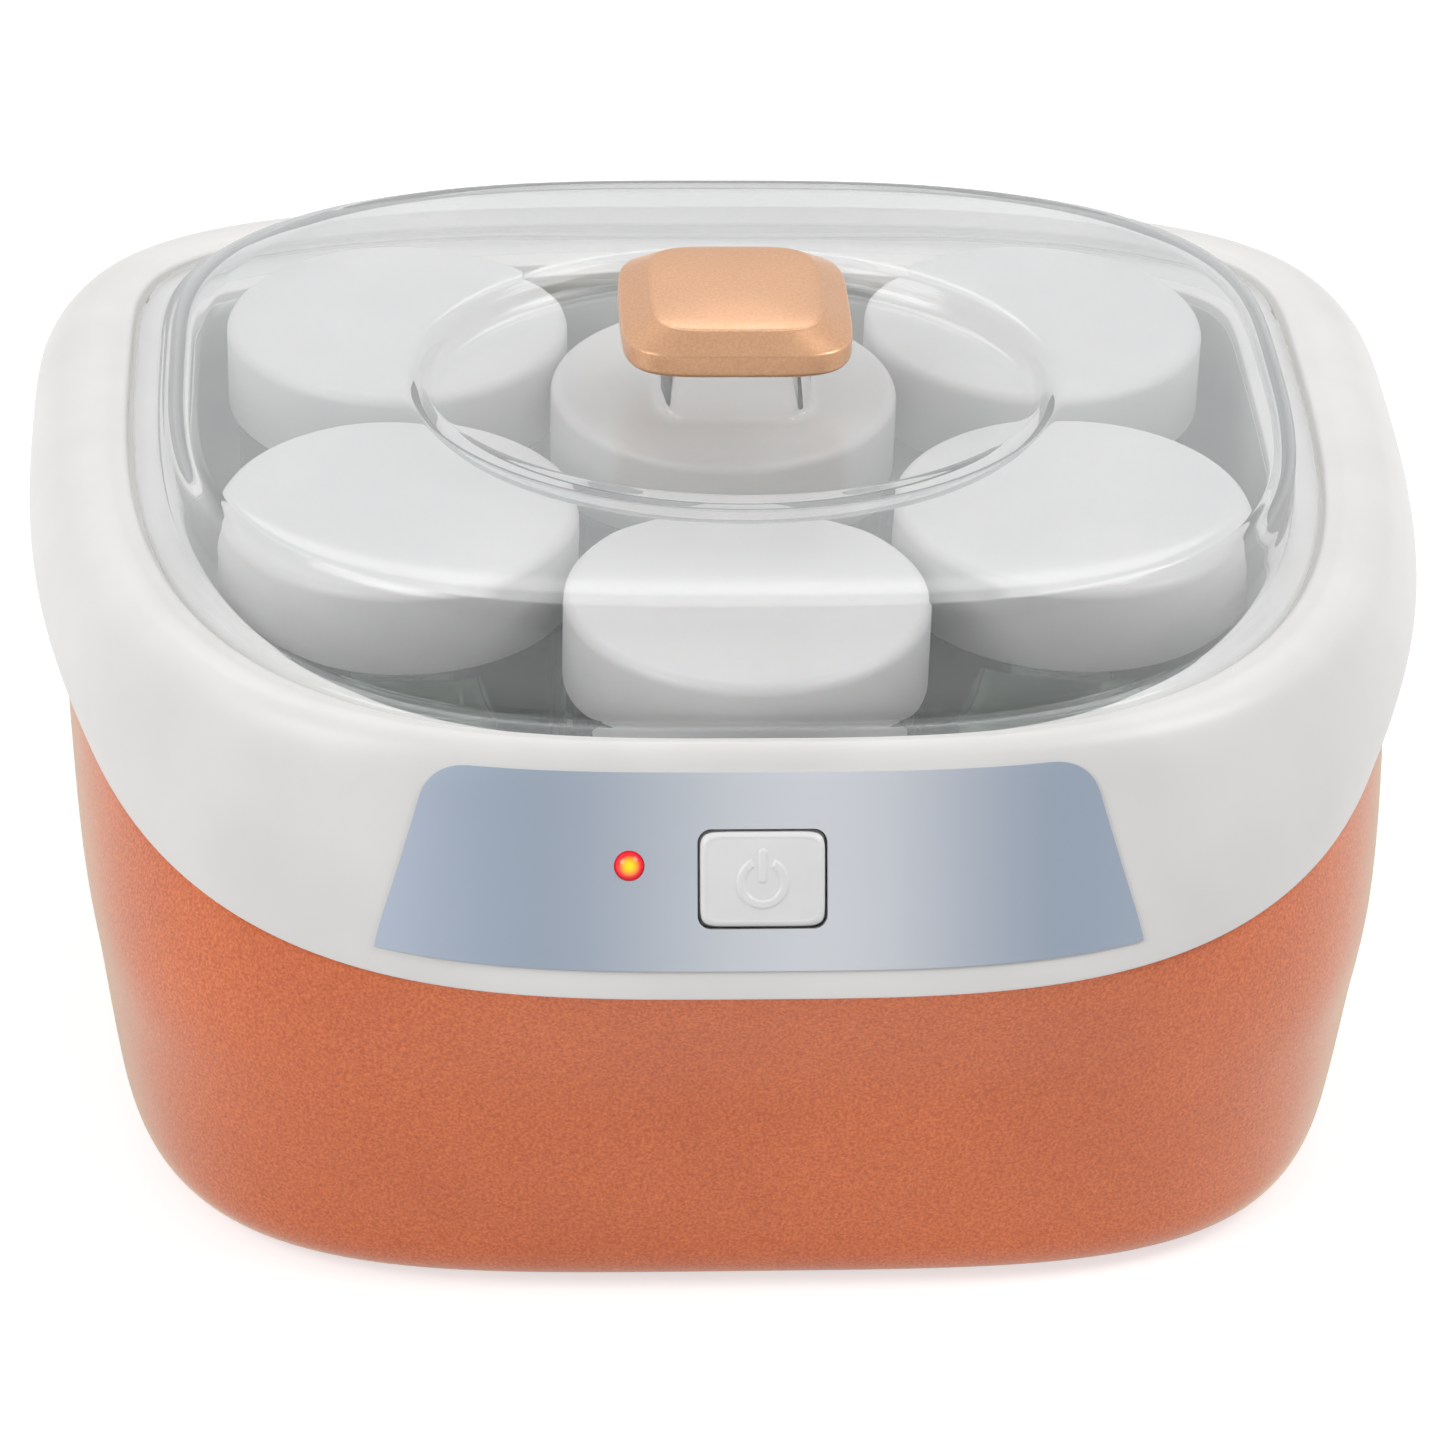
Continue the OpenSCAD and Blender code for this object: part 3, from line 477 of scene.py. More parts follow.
def lamp_resin(name, x, y, z):
    """A lit lamp: the chip shines yellow through the middle of the red lens, and the colour goes
    to red with the distance from its axis."""
    material, tree, place = new_finish(name)
    middle = node(tree, "ShaderNodeVectorMath", [(0, place)], operation="DISTANCE",
                  in_1=(x * MM, y * MM, z * MM))
    share = ranged(tree, middle.outputs["Value"], (0, 0.0026), (0, 1))
    glow = ramp(tree, share, [(0.3, "#FFD420"), (0.72, "#E0202A")])
    shader = principled(tree, [("Base Color", glow), ("Emission Color", glow),
                               ("Normal", relief(tree, place, 1.2, 0.02))],
                        in_Emission_Strength=0.45, in_Roughness=0.15)
    close_finish(tree, shader)
    return material


# %% Metals, plastics and rubber of the inner parts
def brushed_finish(name, low, high, roughness):
    """A rolled or drawn metal: fine lines along X, 0.1 mm apart, drawn at 0.3 mm."""
    material, tree, place = new_finish(name)
    stretch = node(tree, "ShaderNodeMapping", [("Vector", place)], in_Scale=(0.05, 1, 1))
    lines = stretch.outputs["Vector"]
    shader = principled(tree, [("Base Color", mottle(tree, lines, 0.6, low, high)),
                               ("Normal", relief(tree, lines, 0.3, 0.002))],
                        in_Metallic=1.0, in_Roughness=roughness)
    close_finish(tree, shader)
    return material


zinc_finish = plain_finish("zinc-plated steel", "#B8BBBD", "#D2D4D6", 1.5, 0.3, 0.003, 0.3,
                           Metallic=1.0)
spreader_finish = brushed_finish("rolled aluminium plate", "#BFC1C3", "#D0D2D3", 0.4)
ceramic_finish = plain_finish("alumina ceramic, fired", "#D2CBBB", "#DED8C9", 4, 0.3, 0.01, 0.7)
black_finish = plain_finish("black ABS, spark-eroded", "#19191B", "#242427", 6, 0.4, 0.01, 0.5)
grey_finish = plain_finish("grey ABS, spark-eroded", "#44474A", "#505356", 9, 0.6, 0.02, 0.55)
rubber_finish = plain_finish("nitrile rubber, moulded", "#1E1E1E", "#2A2A29", 3, 0.35, 0.012, 0.75)
board_finish = plain_finish("glass-epoxy board, green mask", "#215A3C", "#35774F", 1.2, 0.25,
                            0.006, 0.3)
red_finish = plain_finish("red PVC, extruded", "#B03024", "#C53E30", 2, 0.3, 0.004, 0.4)
blue_finish = plain_finish("blue PVC, extruded", "#34649F", "#4273B8", 2, 0.3, 0.004, 0.4)
nylon_finish = plain_finish("natural nylon, moulded", "#E0DDD2", "#ECEAE1", 5, 0.3, 0.005, 0.4,
                            Subsurface_Weight=0.2, Subsurface_Scale=0.002)
silicone_finish = plain_finish("white silicone, moulded", "#EDEDE8", "#F6F6F2", 4, 0.3, 0.004, 0.6)

# %% [markdown]
# ## Finishes on the CAD solids
# Screws, boards, wires and the other small parts keep their CAD solids, which already have their
# true shapes. Each takes the finish of its material slot.

# %% Dress the CAD solids
SLOT_FINISH = {
    "copper_paint": casing_finish, "warm_white_plastic": collar_finish,
    "panel_foil": foil_finish, "button_plastic": button_finish,
    "pressed_aluminium": pan_finish, "spreader_aluminium": spreader_finish,
    "heater_ceramic": ceramic_finish, "zinc_steel": zinc_finish,
    "black_plastic": black_finish, "grey_plastic": grey_finish, "black_rubber": rubber_finish,
    "board_laminate": board_finish, "red_insulation": red_finish,
    "blue_insulation": blue_finish, "natural_nylon": nylon_finish,
    "clear_cover": cover_finish, "copper_gold_plastic": knob_finish,
    "jar_glass": glass_finish, "milky_lid": lid_finish, "white_silicone": silicone_finish}

# %% [markdown]
# ## Panel frame
# The control panel leans back. Points given across, up the slope and out of the face become
# points of the object, so the button, lamp and symbol are worked out flat and then placed.

# %% Panel frame
PANEL_Y, PANEL_Z, PANEL_TILT = -109.8, 92.4, math.radians(62.4)
UP_SLOPE = np.array([0, math.cos(PANEL_TILT), math.sin(PANEL_TILT)])
OUT_OF_FACE = np.array([0, -math.sin(PANEL_TILT), math.cos(PANEL_TILT)])


def on_panel(points):
    """Turns points (across, up the slope, out of the face) into the object's frame."""
    p = np.asarray(points, float)
    return (np.array([0, PANEL_Y, PANEL_Z]) + p[..., :1] * [1, 0, 0]
            + p[..., 1:2] * UP_SLOPE + p[..., 2:3] * OUT_OF_FACE)


LAMP_X, LAMP_RISE, LAMP_D = -23.0, 2.4, 5.0
lamp_spot = on_panel([LAMP_X, LAMP_RISE, 0.6])
lamp_finish = lamp_resin("lit lamp, clear red epoxy", *lamp_spot)
SLOT_FINISH["lamp_resin"] = lamp_finish
for part in frame["record"]["subparts"]:
    finish_on(nodes[part["node"]], SLOT_FINISH[part["material_slot"]])
print(len(nodes), "CAD solids dressed")

# %% [markdown]
# ## Casing body
# On the real object the body is one injection moulding with a rounded foot, walls that lean out a
# little and a top edge that slopes up to the rear. A stack of levels from the same numbers as the
# CAD gives the true outline with smooth walls.

# %% Casing body
JOINT_FRONT, JOINT_REAR = (-120.4, 74.2), (119.8, 97.0)
JOINT_SLOPE = (JOINT_REAR[1] - JOINT_FRONT[1]) / (JOINT_REAR[0] - JOINT_FRONT[0])


def joint_z(y):
    """Height of the plane where collar and body meet, which rises evenly to the rear."""
    return JOINT_FRONT[1] + JOINT_SLOPE * (y - JOINT_FRONT[0])


COLLAR_SIDE, FOOT_SIDE = 3.25, 4.0


def collar_level(half_w, front, rear, z0, z1, n):
    return level(half_w, front, rear, z0, z1, n, side=COLLAR_SIDE)


def joint_level(half_w, front, rear, rise, n):
    return collar_level(half_w, front, rear, joint_z(front) + rise, joint_z(rear) + rise, n)


def body_level(half_w, front, rear, z, n):
    """A flat level of the body, whose sides grow squarer towards the foot."""
    side = FOOT_SIDE + (COLLAR_SIDE - FOOT_SIDE) * z / JOINT_FRONT[1]
    return level(half_w, front, rear, z, n=n, side=side)


FOOT_Z = 2.0
body_outside = [body_level(112.4, -101.2, 101.2, FOOT_Z + 0.4, (5, 4.4)),
                body_level(114.6, -103.6, 103.4, FOOT_Z + 1.8, (4.9, 4.3)),
                body_level(116.6, -105.6, 105, FOOT_Z + 6, (4.8, 4.2)),
                body_level(118, -106.9, 106, 16, (4.8, 4.1)),
                body_level(120.6, -109.9, 109.3, 34, (4.55, 3.85)),
                body_level(123.2, -112.9, 112.6, 52, (4.3, 3.6)),
                joint_level(126.8, -118.8, 118.2, -0.9, (2.7, 3))]
body_inside = [joint_level(126.4, -118.4, 117.8, -0.3, (2.7, 3)),
               joint_level(125.1, -117.3, 116.6, -0.3, (2.55, 2.9)),
               joint_level(125.1, -114.3, 116.4, 5, (2.5, 2.9)),
               joint_level(123.5, -112.7, 114.8, 5, (2.5, 2.9)),
               joint_level(123.2, -115.4, 114.7, -4, (2.7, 3)),
               body_level(120.6, -110.3, 110, 52, (4.3, 3.6)),
               body_level(115.4, -104.3, 103.4, 17, (4.8, 4.1)),
               body_level(113.4, -102.6, 102, 10, (4.8, 4.2)),
               body_level(99.5, -85.5, 87.5, 9, (4.8, 4.2)),
               body_level(99.5, -85.5, 87.5, 6.4, (4.8, 4.2)),
               body_level(108.4, -97.4, 97.4, 6.4, (5, 4.4)),
               body_level(108.4, -97.4, 97.4, FOOT_Z, (5, 4.4)),
               body_level(111, -99.8, 99.8, FOOT_Z, (5, 4.4))]
body_levels = np.concatenate([through(body_outside, 10), body_inside])
body_mesh = hoop_mesh("casing_body", body_levels)


# %% [markdown]
# ## Cutting holes
# The button, the lamp and the cord go through the mouldings. Each hole is cut with a closed block
# of the hole's shape, as a mould core would leave it, and the block is thrown away.

# %% Cutters
def rounded_outline(width, height, radius, steps=10):
    """The outline of a rectangle with round corners, counter-clockwise."""
    corners = [(1, 1, 0), (-1, 1, 90), (-1, -1, 180), (1, -1, 270)]
    return np.concatenate([arc(sx * (width / 2 - radius), sy * (height / 2 - radius), radius,
                               start, start + 90, steps) for sx, sy, start in corners])


def block_mesh(name, outline, low, high, place):
    """A straight block over an outline, between two depths, put in place by a function."""
    count = len(outline)
    ends = np.vstack([np.column_stack([outline, np.full(count, depth)]) for depth in (low, high)])
    middles = np.array([[*outline.mean(0), depth] for depth in (low, high)])
    return fanned_mesh(name, place(ends), place(middles), count)


def cut(mesh, cutters):
    """The mesh with the cutters' shapes taken out of it."""
    work = placed("work", mesh)
    tools = [placed("tool", cutter) for cutter in cutters]
    for tool in tools:
        step = work.modifiers.new("hole", "BOOLEAN")
        step.operation, step.solver, step.object = "DIFFERENCE", "EXACT", tool
    seen = work.evaluated_get(bpy.context.evaluated_depsgraph_get())
    result = bpy.data.meshes.new_from_object(seen)
    result.name = mesh.name
    for spare in [work, *tools]:
        bpy.data.objects.remove(spare)
    return result


def circle(x, y, radius):
    """The outline of a circle, 48 points counter-clockwise."""
    return arc(x, y, radius, 0, 352.5, 47)


BUTTON_W, BUTTON_H, BUTTON_GAP, HOLE_R = 21.6, 16.4, 0.45, 2.4
HOLE_DEPTHS = (-8, 8)
CORD_X, CORD_Z, CORD_HOLE_R = -45.0, 22.0, 6.5


def at_cord(points):
    """Turns points (across, up, along the cord) into the object's frame."""
    return np.stack([CORD_X + points[:, 0], points[:, 2], CORD_Z + points[:, 1]], 1)


def panel_holes(lamp_diameter):
    """Cutters for the button and the lamp, along the panel's own normal."""
    key = rounded_outline(BUTTON_W + 2 * BUTTON_GAP, BUTTON_H + 2 * BUTTON_GAP, HOLE_R)
    lamp = circle(LAMP_X, LAMP_RISE, lamp_diameter / 2)
    return [block_mesh("button_hole", key, *HOLE_DEPTHS, on_panel),
            block_mesh("lamp_hole", lamp, *HOLE_DEPTHS, on_panel)]


def flipped(mesh):
    """The mesh with every face turned over."""
    mesh.flip_normals()
    return mesh


def moved(mesh, place):
    """The mesh with its points put in place by a function that works in millimetres."""
    points = np.zeros(len(mesh.vertices) * 3)
    mesh.vertices.foreach_get("co", points)
    mesh.vertices.foreach_set("co", (place(points.reshape(-1, 3) / MM) * MM).ravel())
    return mesh


cord_hole = flipped(block_mesh("cord_hole", circle(0, 0, CORD_HOLE_R), 90, 112, at_cord))
add_piece("casing_body", cut(body_mesh, [cord_hole]), "housing", casing_finish, ["outer_body"])

# %% [markdown]
# ## Collar
# The collar is the broad white ring that carries the cover and the panel. Its top edge rolls over
# into a groove for the cover, and a ledge inside carries the foot of the cover. Its skin runs
# through the same levels as the CAD, drawn as smooth curves.

# %% Collar
collar_skin = [level(114.2, -95.4, 106, 111.6, n=(3, 4.2), side=3.05),
               level(117.6, -97, 109.4, 112.3, n=(2.95, 3.9), side=3.15),
               collar_level(122, -99.2, 113.2, 111.4, 112.2, (2.9, 3.6)),
               collar_level(126.6, -101.6, 117.2, 108.2, 110.2, (2.8, 3.4)),
               collar_level(130.8, -105.9, 119.6, 99.9, 106.8, (2.7, 3.2)),
               collar_level(132.6, -110.5, 120.2, 91.5, 103, (2.65, 3.1)),
               collar_level(131.4, -115.3, 120.2, 83.2, 99.6, (2.6, 3)),
               joint_level(128.2, -120.4, 119.8, 0, (2.6, 3))]
LEDGE_Z, LEDGE_UNDER_Z = 109.0, 105.5
groove_foot = level(113.4, -94.6, 105.2, LEDGE_Z, n=(3, 4.2))
mouth = level(103.6, -90.6, 91, LEDGE_Z)
skin = through(collar_skin, 8)
rim = rounded(groove_foot, (113.6, -94.9, 105.5, 112.0, 112.0, 3, 4.2, WIDEST_Y, 3), skin[4], 0.8)
foot_edge = rounded(skin[-3], skin[-1], joint_level(126.6, -118.8, 118.2, 0, (2.6, 3)), 0.6, 4)
mouth_edge = rounded(level(*mouth[:3], LEDGE_UNDER_Z), mouth, groove_foot, 0.6, 4)
collar_inside = [joint_level(125.6, -118.1, 117.2, 0, (2.6, 3)),
                 collar_level(128.8, -113, 117.6, 82.1, 98.4, (2.6, 3)),
                 collar_level(130, -108.2, 117.6, 90.2, 101.6, (2.65, 3.1)),
                 collar_level(128, -103.6, 116.6, 98.5, 104.6, (2.7, 3.2)),
                 collar_level(122.6, -100, 112, 105, 106, (2.8, 3.6)),
                 collar_level(117.6, -98.2, 108.6, LEDGE_UNDER_Z, LEDGE_UNDER_Z, (2.8, 3.8)),
                 level(*mouth[:3], LEDGE_UNDER_Z)]
collar_levels = np.concatenate([mouth_edge, [groove_foot], rim, skin[5:-3], foot_edge,
                                collar_inside])
collar_mesh = flipped(hoop_mesh("collar", collar_levels))
add_piece("collar_moulding", cut(collar_mesh, panel_holes(LAMP_D + 1.7)), "housing",
          collar_finish, ["collar"])

# %% [markdown]
# ## Panel foil
# A foil 0.5 mm thick is bonded to the front of the collar, so it follows the collar's skin. It is
# a patch of that skin, found by its height down the skin and its distance from the middle, lifted
# off by its thickness, with rounded upper corners.

# %% Panel foil
PLATE_TOP, PLATE_FOOT, PLATE_CORNER = 2.9, 6.45, 6.5
CORNER_SHARE = 0.22


def skin_point(depth, x):
    """The front of the collar at a place down its skin (0 at the rim, 7 at the joint) and x: the
    superellipse of that level solved for y."""
    table = through(collar_skin, 40)
    row = depth * 40
    i = np.minimum(row.astype(int), len(table) - 2)
    f = (row - i)[..., None]
    s = table[i] * (1 - f) + table[i + 1] * f
    k = (1 - np.abs(x / s[..., 0]) ** s[..., 8]) ** (1 / s[..., 5])
    y = s[..., 7] - (s[..., 7] - s[..., 1]) * k
    z = s[..., 3] + (s[..., 4] - s[..., 3]) * (y - s[..., 1]) / (s[..., 2] - s[..., 1])
    return np.stack([x, y, z], -1)


def plate_mesh(name, rows=48, columns=160):
    """A patch of the collar's skin as a closed plate. f runs down it, and half its width is
    57 + 10 f less a quarter circle that rounds the upper corners."""
    f = np.linspace(0, 1, rows + 1)[:, None] ** 1.4
    corner = np.where(f < CORNER_SHARE,
                      1 - np.sqrt(np.clip(1 - (1 - f / CORNER_SHARE) ** 2, 0, 1)), 0)
    half = 57 + 10 * f - PLATE_CORNER * corner
    x = half * np.linspace(-1, 1, columns + 1)
    face = skin_point(PLATE_TOP + (PLATE_FOOT - PLATE_TOP) * f + 0 * x, x)
    under, top = face + 0.05 * OUT_OF_FACE, face + 0.55 * OUT_OF_FACE
    count = (rows + 1) * (columns + 1)
    sheet = grid_faces(rows + 1, columns + 1, wrap_columns=False)
    j = np.arange(count).reshape(rows + 1, columns + 1)
    edge = np.concatenate([j[0, :-1], j[:-1, -1], j[-1, :0:-1], j[:0:-1, 0]])
    after = np.roll(edge, -1)
    sides = np.stack([edge, after, after + count, edge + count], 1)
    points = np.vstack([under.reshape(-1, 3), top.reshape(-1, 3)])
    return mesh_from(name, points, sheet, sheet[:, ::-1] + count, sides[:, ::-1])


add_piece("panel_foil", cut(plate_mesh("panel_foil"), panel_holes(LAMP_D + 0.3)), "housing",
          foil_finish, ["panel_plate"], 30)

# %% [markdown]
# ## Button with its symbol
# The button cap is a soft-edged white key with the usual power symbol raised on it: an open ring
# with a bar. Rings of points shrink from the cap's edge to its middle and turn from a rounded
# rectangle into circles, and the symbol is a height added to the points that lie inside it.

# %% Button
CAP_TOP, CAP_FOOT, FLANGE_FOOT = 1.4, -3.4, -4.2
EDGE_R, SQUARE = 1.1, 9
SYMBOL_R, SYMBOL_W, SYMBOL_RISE = 3.8, 1.25, 0.3


def soft_step(distance, softness):
    """One inside a shape, zero outside, with a smooth ramp as wide as the softness."""
    t = np.clip(0.5 - distance / softness, 0, 1)
    return t * t * (3 - 2 * t)


def power_symbol(x, y):
    """Height of the symbol: a ring about (0, -0.6) that is open at the top, and an upright bar
    with round ends in its gap."""
    dx, dy = x, y + 0.6
    radius = np.hypot(dx, dy)
    ring_part = np.abs(radius - SYMBOL_R) - SYMBOL_W / 2
    off_top = np.degrees(np.abs(np.arctan2(dx, dy)))
    gap = (30 - off_top) * np.radians(1) * SYMBOL_R
    bar_y = np.clip(dy, 0.6, 5.2)
    bar = np.hypot(dx, dy - bar_y) - SYMBOL_W / 2 + 0.05
    return SYMBOL_RISE * np.maximum(soft_step(np.maximum(ring_part, gap), 0.45),
                                    soft_step(bar, 0.45))


def button_mesh(name, columns=360):
    """A flange, side walls over a slightly wider skirt, a rounded edge, then rings from the edge
    to the middle of a face that is crowned by 0.2 mm. The squareness falls to 2 in the middle."""
    half_w, half_h = BUTTON_W / 2, BUTTON_H / 2
    levels = [oval(half_w + more_w, half_h + more_h, z, 0, SQUARE) for more_w, more_h, z in
              [(1.3, 1, FLANGE_FOOT), (1.3, 1, CAP_FOOT), (0.3, 0.3, CAP_FOOT), (0.3, 0.3, -1.4),
               (0, 0, -1.0), (0, 0, CAP_TOP - EDGE_R)]]
    for t in np.linspace(0.1, 1, 10):
        a = 0.5 * np.pi * t
        inset = EDGE_R * (1 - math.cos(a))
        levels.append(oval(half_w - inset, half_h - inset, CAP_TOP - EDGE_R * (1 - math.sin(a)),
                           0, SQUARE))
    share = np.concatenate([np.linspace(0.985, 0.72, 12), np.linspace(0.71, 0.004, 74)])
    for f in share:
        even = f ** 3
        levels.append(oval((half_w - EDGE_R) * f * even + (half_h - EDGE_R) * f * (1 - even),
                           (half_h - EDGE_R) * f, CAP_TOP, 0, 2 + (SQUARE - 2) * even))
    points = ring_points(levels, columns)
    face = points[:, 2] > CAP_TOP - 0.01
    x, y = points[:, 0], points[:, 1]
    crown = 0.2 * (1 - (x / half_w) ** 2) * (1 - (y / half_h) ** 2)
    points[:, 2] += np.where(face, crown + power_symbol(x, y) - 0.15, 0)
    middles = on_panel([[0, 0, FLANGE_FOOT], [0, 0, points[-1, 2]]])
    return fanned_mesh(name, on_panel(points), middles, columns)


add_piece("button_cap", button_mesh("button_cap"), "power_button", button_finish,
          ["power_button"], 50)

# %% [markdown]
# ## Lamp
# The lamp is a round-nosed epoxy body set almost flush in the foil. It is a turned shape: a
# straight barrel, a small collar and a low dome.

# %% Lamp
lamp_r = LAMP_D / 2
lamp_profile = np.concatenate([[[0, -7.2], [lamp_r - 0.3, -7.2], [lamp_r, -6.9],
                                [lamp_r, 0.1]],
                               arc(0, -1.6, 3.03, 34, 88, 14), [[0, 1.43]]])
lamp_mesh = moved(turned_mesh("lamp", lamp_profile, LAMP_X, LAMP_RISE, 64), on_panel)
add_piece("lamp_lens", lamp_mesh, "housing", lamp_finish, ["indicator_lamp"])

# %% [markdown]
# ## Warming pan
# The jars stand in a shallow aluminium pan, drawn from sheet, that hangs by its flange under the
# collar's ledge. Only its inside shows, between the jars, so its corners are rounded with care.

# %% Warming pan
FLOOR_Z, PAN_TOP = 37.2, 105.4
pan_inside = [level(109.6, -97, 98.8, PAN_TOP), level(104.2, -91.7, 92, PAN_TOP),
              level(103, -90.6, 90.8, PAN_TOP - 1.2), level(101.6, -89.5, 89.6, 70),
              level(101, -89, 89, FLOOR_Z + 5), level(100.2, -88.4, 88.3, FLOOR_Z + 2),
              level(98.6, -87.1, 86.8, FLOOR_Z + 0.5), level(96.4, -85.2, 84.6, FLOOR_Z)]
pan_outside = [level(97, -86, 85.2, FLOOR_Z - 1.2), level(100.4, -88.9, 88.7, FLOOR_Z - 0.4),
               level(102.2, -90.2, 90.2, FLOOR_Z + 4), level(104.1, -91.7, 91.8, PAN_TOP - 1.2),
               level(109.6, -97, 98.8, PAN_TOP - 1.2)]
pan_floor = [level(96.4 * f, -85.2 * f, 84.6 * f, FLOOR_Z, widest=WIDEST_Y * f)
             for f in (0.7, 0.4, 0.1)]
pan_under = [level(97 * f, -86 * f, 85.2 * f, FLOOR_Z - 1.2, widest=WIDEST_Y * f)
             for f in (0.1, 0.6)]
pan_levels = np.concatenate([pan_under, pan_outside, through(pan_inside, 4), pan_floor])
add_piece("warming_pan", capped_mesh("warming_pan", pan_levels, 192), "housing", pan_finish,
          ["inner_pan"], 50)

# %% [markdown]
# ## Jars
# Each jar is a straight glass cup with a rounded foot, a slight neck and a rolled rim. It is
# turned from one profile that goes up the outside and down the inside.

# %% Jars
JAR_PLACES = [(-62, 52.6), (-62, -20.6), (0, 25.8), (0, -53.6), (62, 52.6), (62, -20.6)]
JAR_R, GLASS, JAR_FOOT, JAR_TOP = 31.0, 2.8, 37.5, 112.5
SHOULDER_Z = 98.0
jar_profile = np.concatenate([
    [[0, JAR_FOOT + 1.2], [20, JAR_FOOT + 1.0], [22.5, JAR_FOOT + 0.1], [24, JAR_FOOT]],
    arc(JAR_R - 4, JAR_FOOT + 4, 4, -80, 0, 10), [[JAR_R, SHOULDER_Z - 1.5]],
    [[JAR_R - 0.5, SHOULDER_Z - 0.4], [JAR_R - 1.2, SHOULDER_Z + 0.6], [JAR_R - 1.2, 106.8]],
    arc(JAR_R - 1.2, JAR_TOP - 4, 1.1, -80, 80, 6), [[JAR_R - 1.2, JAR_TOP - 1.4]],
    arc(JAR_R - 2, JAR_TOP - 0.8, 0.8, 0, 90, 5), [[JAR_R - GLASS + 0.3, JAR_TOP - 0.1]],
    [[JAR_R - GLASS, JAR_TOP - 0.6]],
    arc(JAR_R - GLASS - 4, JAR_FOOT + 8, 4, 0, -90, 10), [[0, JAR_FOOT + 4]]])


def add_six(name, profile, body, finish, crease):
    """A turned piece at each of the jars' places."""
    for number, (x, y) in enumerate(JAR_PLACES, 1):
        node_name = f"{body}_{number}"
        add_piece(f"{name}_{number}", turned_mesh(f"{name}_{number}", profile, x, y), node_name,
                  finish, [node_name], crease)


add_six("glass_jar", jar_profile, "jar", glass_finish, 60)

# %% [markdown]
# ## Jar lids
# The lids are milky polypropylene caps with a deep plain skirt and a well-rounded top edge. The
# top sinks very slightly towards the middle, as such mouldings do when they cool.

# %% Jar lids
LID_R, LID_TOP, SKIRT, LID_T = 33.0, 117.0, 17.0, 1.4
LID_EDGE = 2.2
lid_profile = np.concatenate([
    [[0, LID_TOP - 1.75], [LID_R - LID_T - 1, LID_TOP - 1.6], [LID_R - LID_T, LID_TOP - 2.6],
     [LID_R - LID_T, LID_TOP - SKIRT + 0.3], [LID_R - LID_T + 0.3, LID_TOP - SKIRT],
     [LID_R - 0.35, LID_TOP - SKIRT], [LID_R - 0.05, LID_TOP - SKIRT + 0.35]],
    arc(LID_R - LID_EDGE, LID_TOP - LID_EDGE, LID_EDGE, 0, 88, 12),
    [[26, LID_TOP - 0.04], [20, LID_TOP - 0.1], [0, LID_TOP - 0.15]]])
add_six("milky_lid", lid_profile, "jar_lid", lid_finish, 50)

# %% [markdown]
# ## Clear cover
# The cover is one clear moulding: a foot that stands in the collar's groove, walls that lean in, a
# soft shoulder, a nearly flat top with an oval dish, and a hollow pedestal for the knob. Its wall
# is a loop in section that goes over the outside, down the screw hole and back along the inside.

# %% Clear cover
KNOB_Y, DISH_Y, DISH_Z, COVER_T, PEDESTAL_TOP = 3.0, -1.0, 129.5, 2.2, 141.0
PEDESTAL_HALF, DISH_NARROWER = 14.0, 10.4


def wall_levels(*rows):
    """Flat levels from rows of half width, front, rear, height, squareness and widest place."""
    return [level(*row[:4], n=row[4], widest=row[5]) for row in rows]


cover_outside = wall_levels(
    (112.4, -93.6, 104, 109.3, (3, 4.2), WIDEST_Y),
    (112.5, -93.7, 104.1, 110.8, (3, 4.2), WIDEST_Y),
    (111.7, -93, 103.2, 111.9, (3, 4.2), WIDEST_Y),
    (109.4, -91.4, 100, 112.3, (3, 4), WIDEST_Y),
    (107.8, -90.3, 97.4, 113.6, (3, 3.9), WIDEST_Y),
    (106.2, -89, 94, 121, (3, 3.5), 35), (104, -87.2, 88.4, 128.6, (3, 3.1), 16),
    (101.4, -85.6, 83.6, 132, (3, 3), 6), (97.2, -82.4, 79.8, 133.6, (3, 2.9), 0),
    (85, -72, 68, 134.4, (2.8, 2.7), 0), (72, -60, 56, 134.9, (2.5, 2.5), 0))
cover_inside = wall_levels(
    (72, -60, 56, 134.9 - COVER_T, (2.5, 2.5), 0),
    (85, -72, 68, 134.4 - COVER_T, (2.8, 2.7), 0),
    (96.4, -81.6, 79, 133.6 - COVER_T, (3, 2.9), 0), (99.4, -83.8, 81.6, 130.7, (3, 3), 6),
    (101.8, -85.1, 86.2, 127.8, (3, 3.1), 16), (104, -86.8, 91.8, 120.6, (3, 3.5), 35),
    (105.6, -88.1, 95.2, 113, (3, 3.9), WIDEST_Y), (106, -88.5, 96, 109.3, (3, 4), WIDEST_Y))


def pedestal_level(inset, z, n=7.0):
    return oval(PEDESTAL_HALF - inset, PEDESTAL_HALF - inset, z, KNOB_Y, n)


def dish_levels(*places):
    """Levels of the oval dish from pairs of half width and height."""
    return [oval(half_w, half_w - DISH_NARROWER, z, DISH_Y) for half_w, z in places]


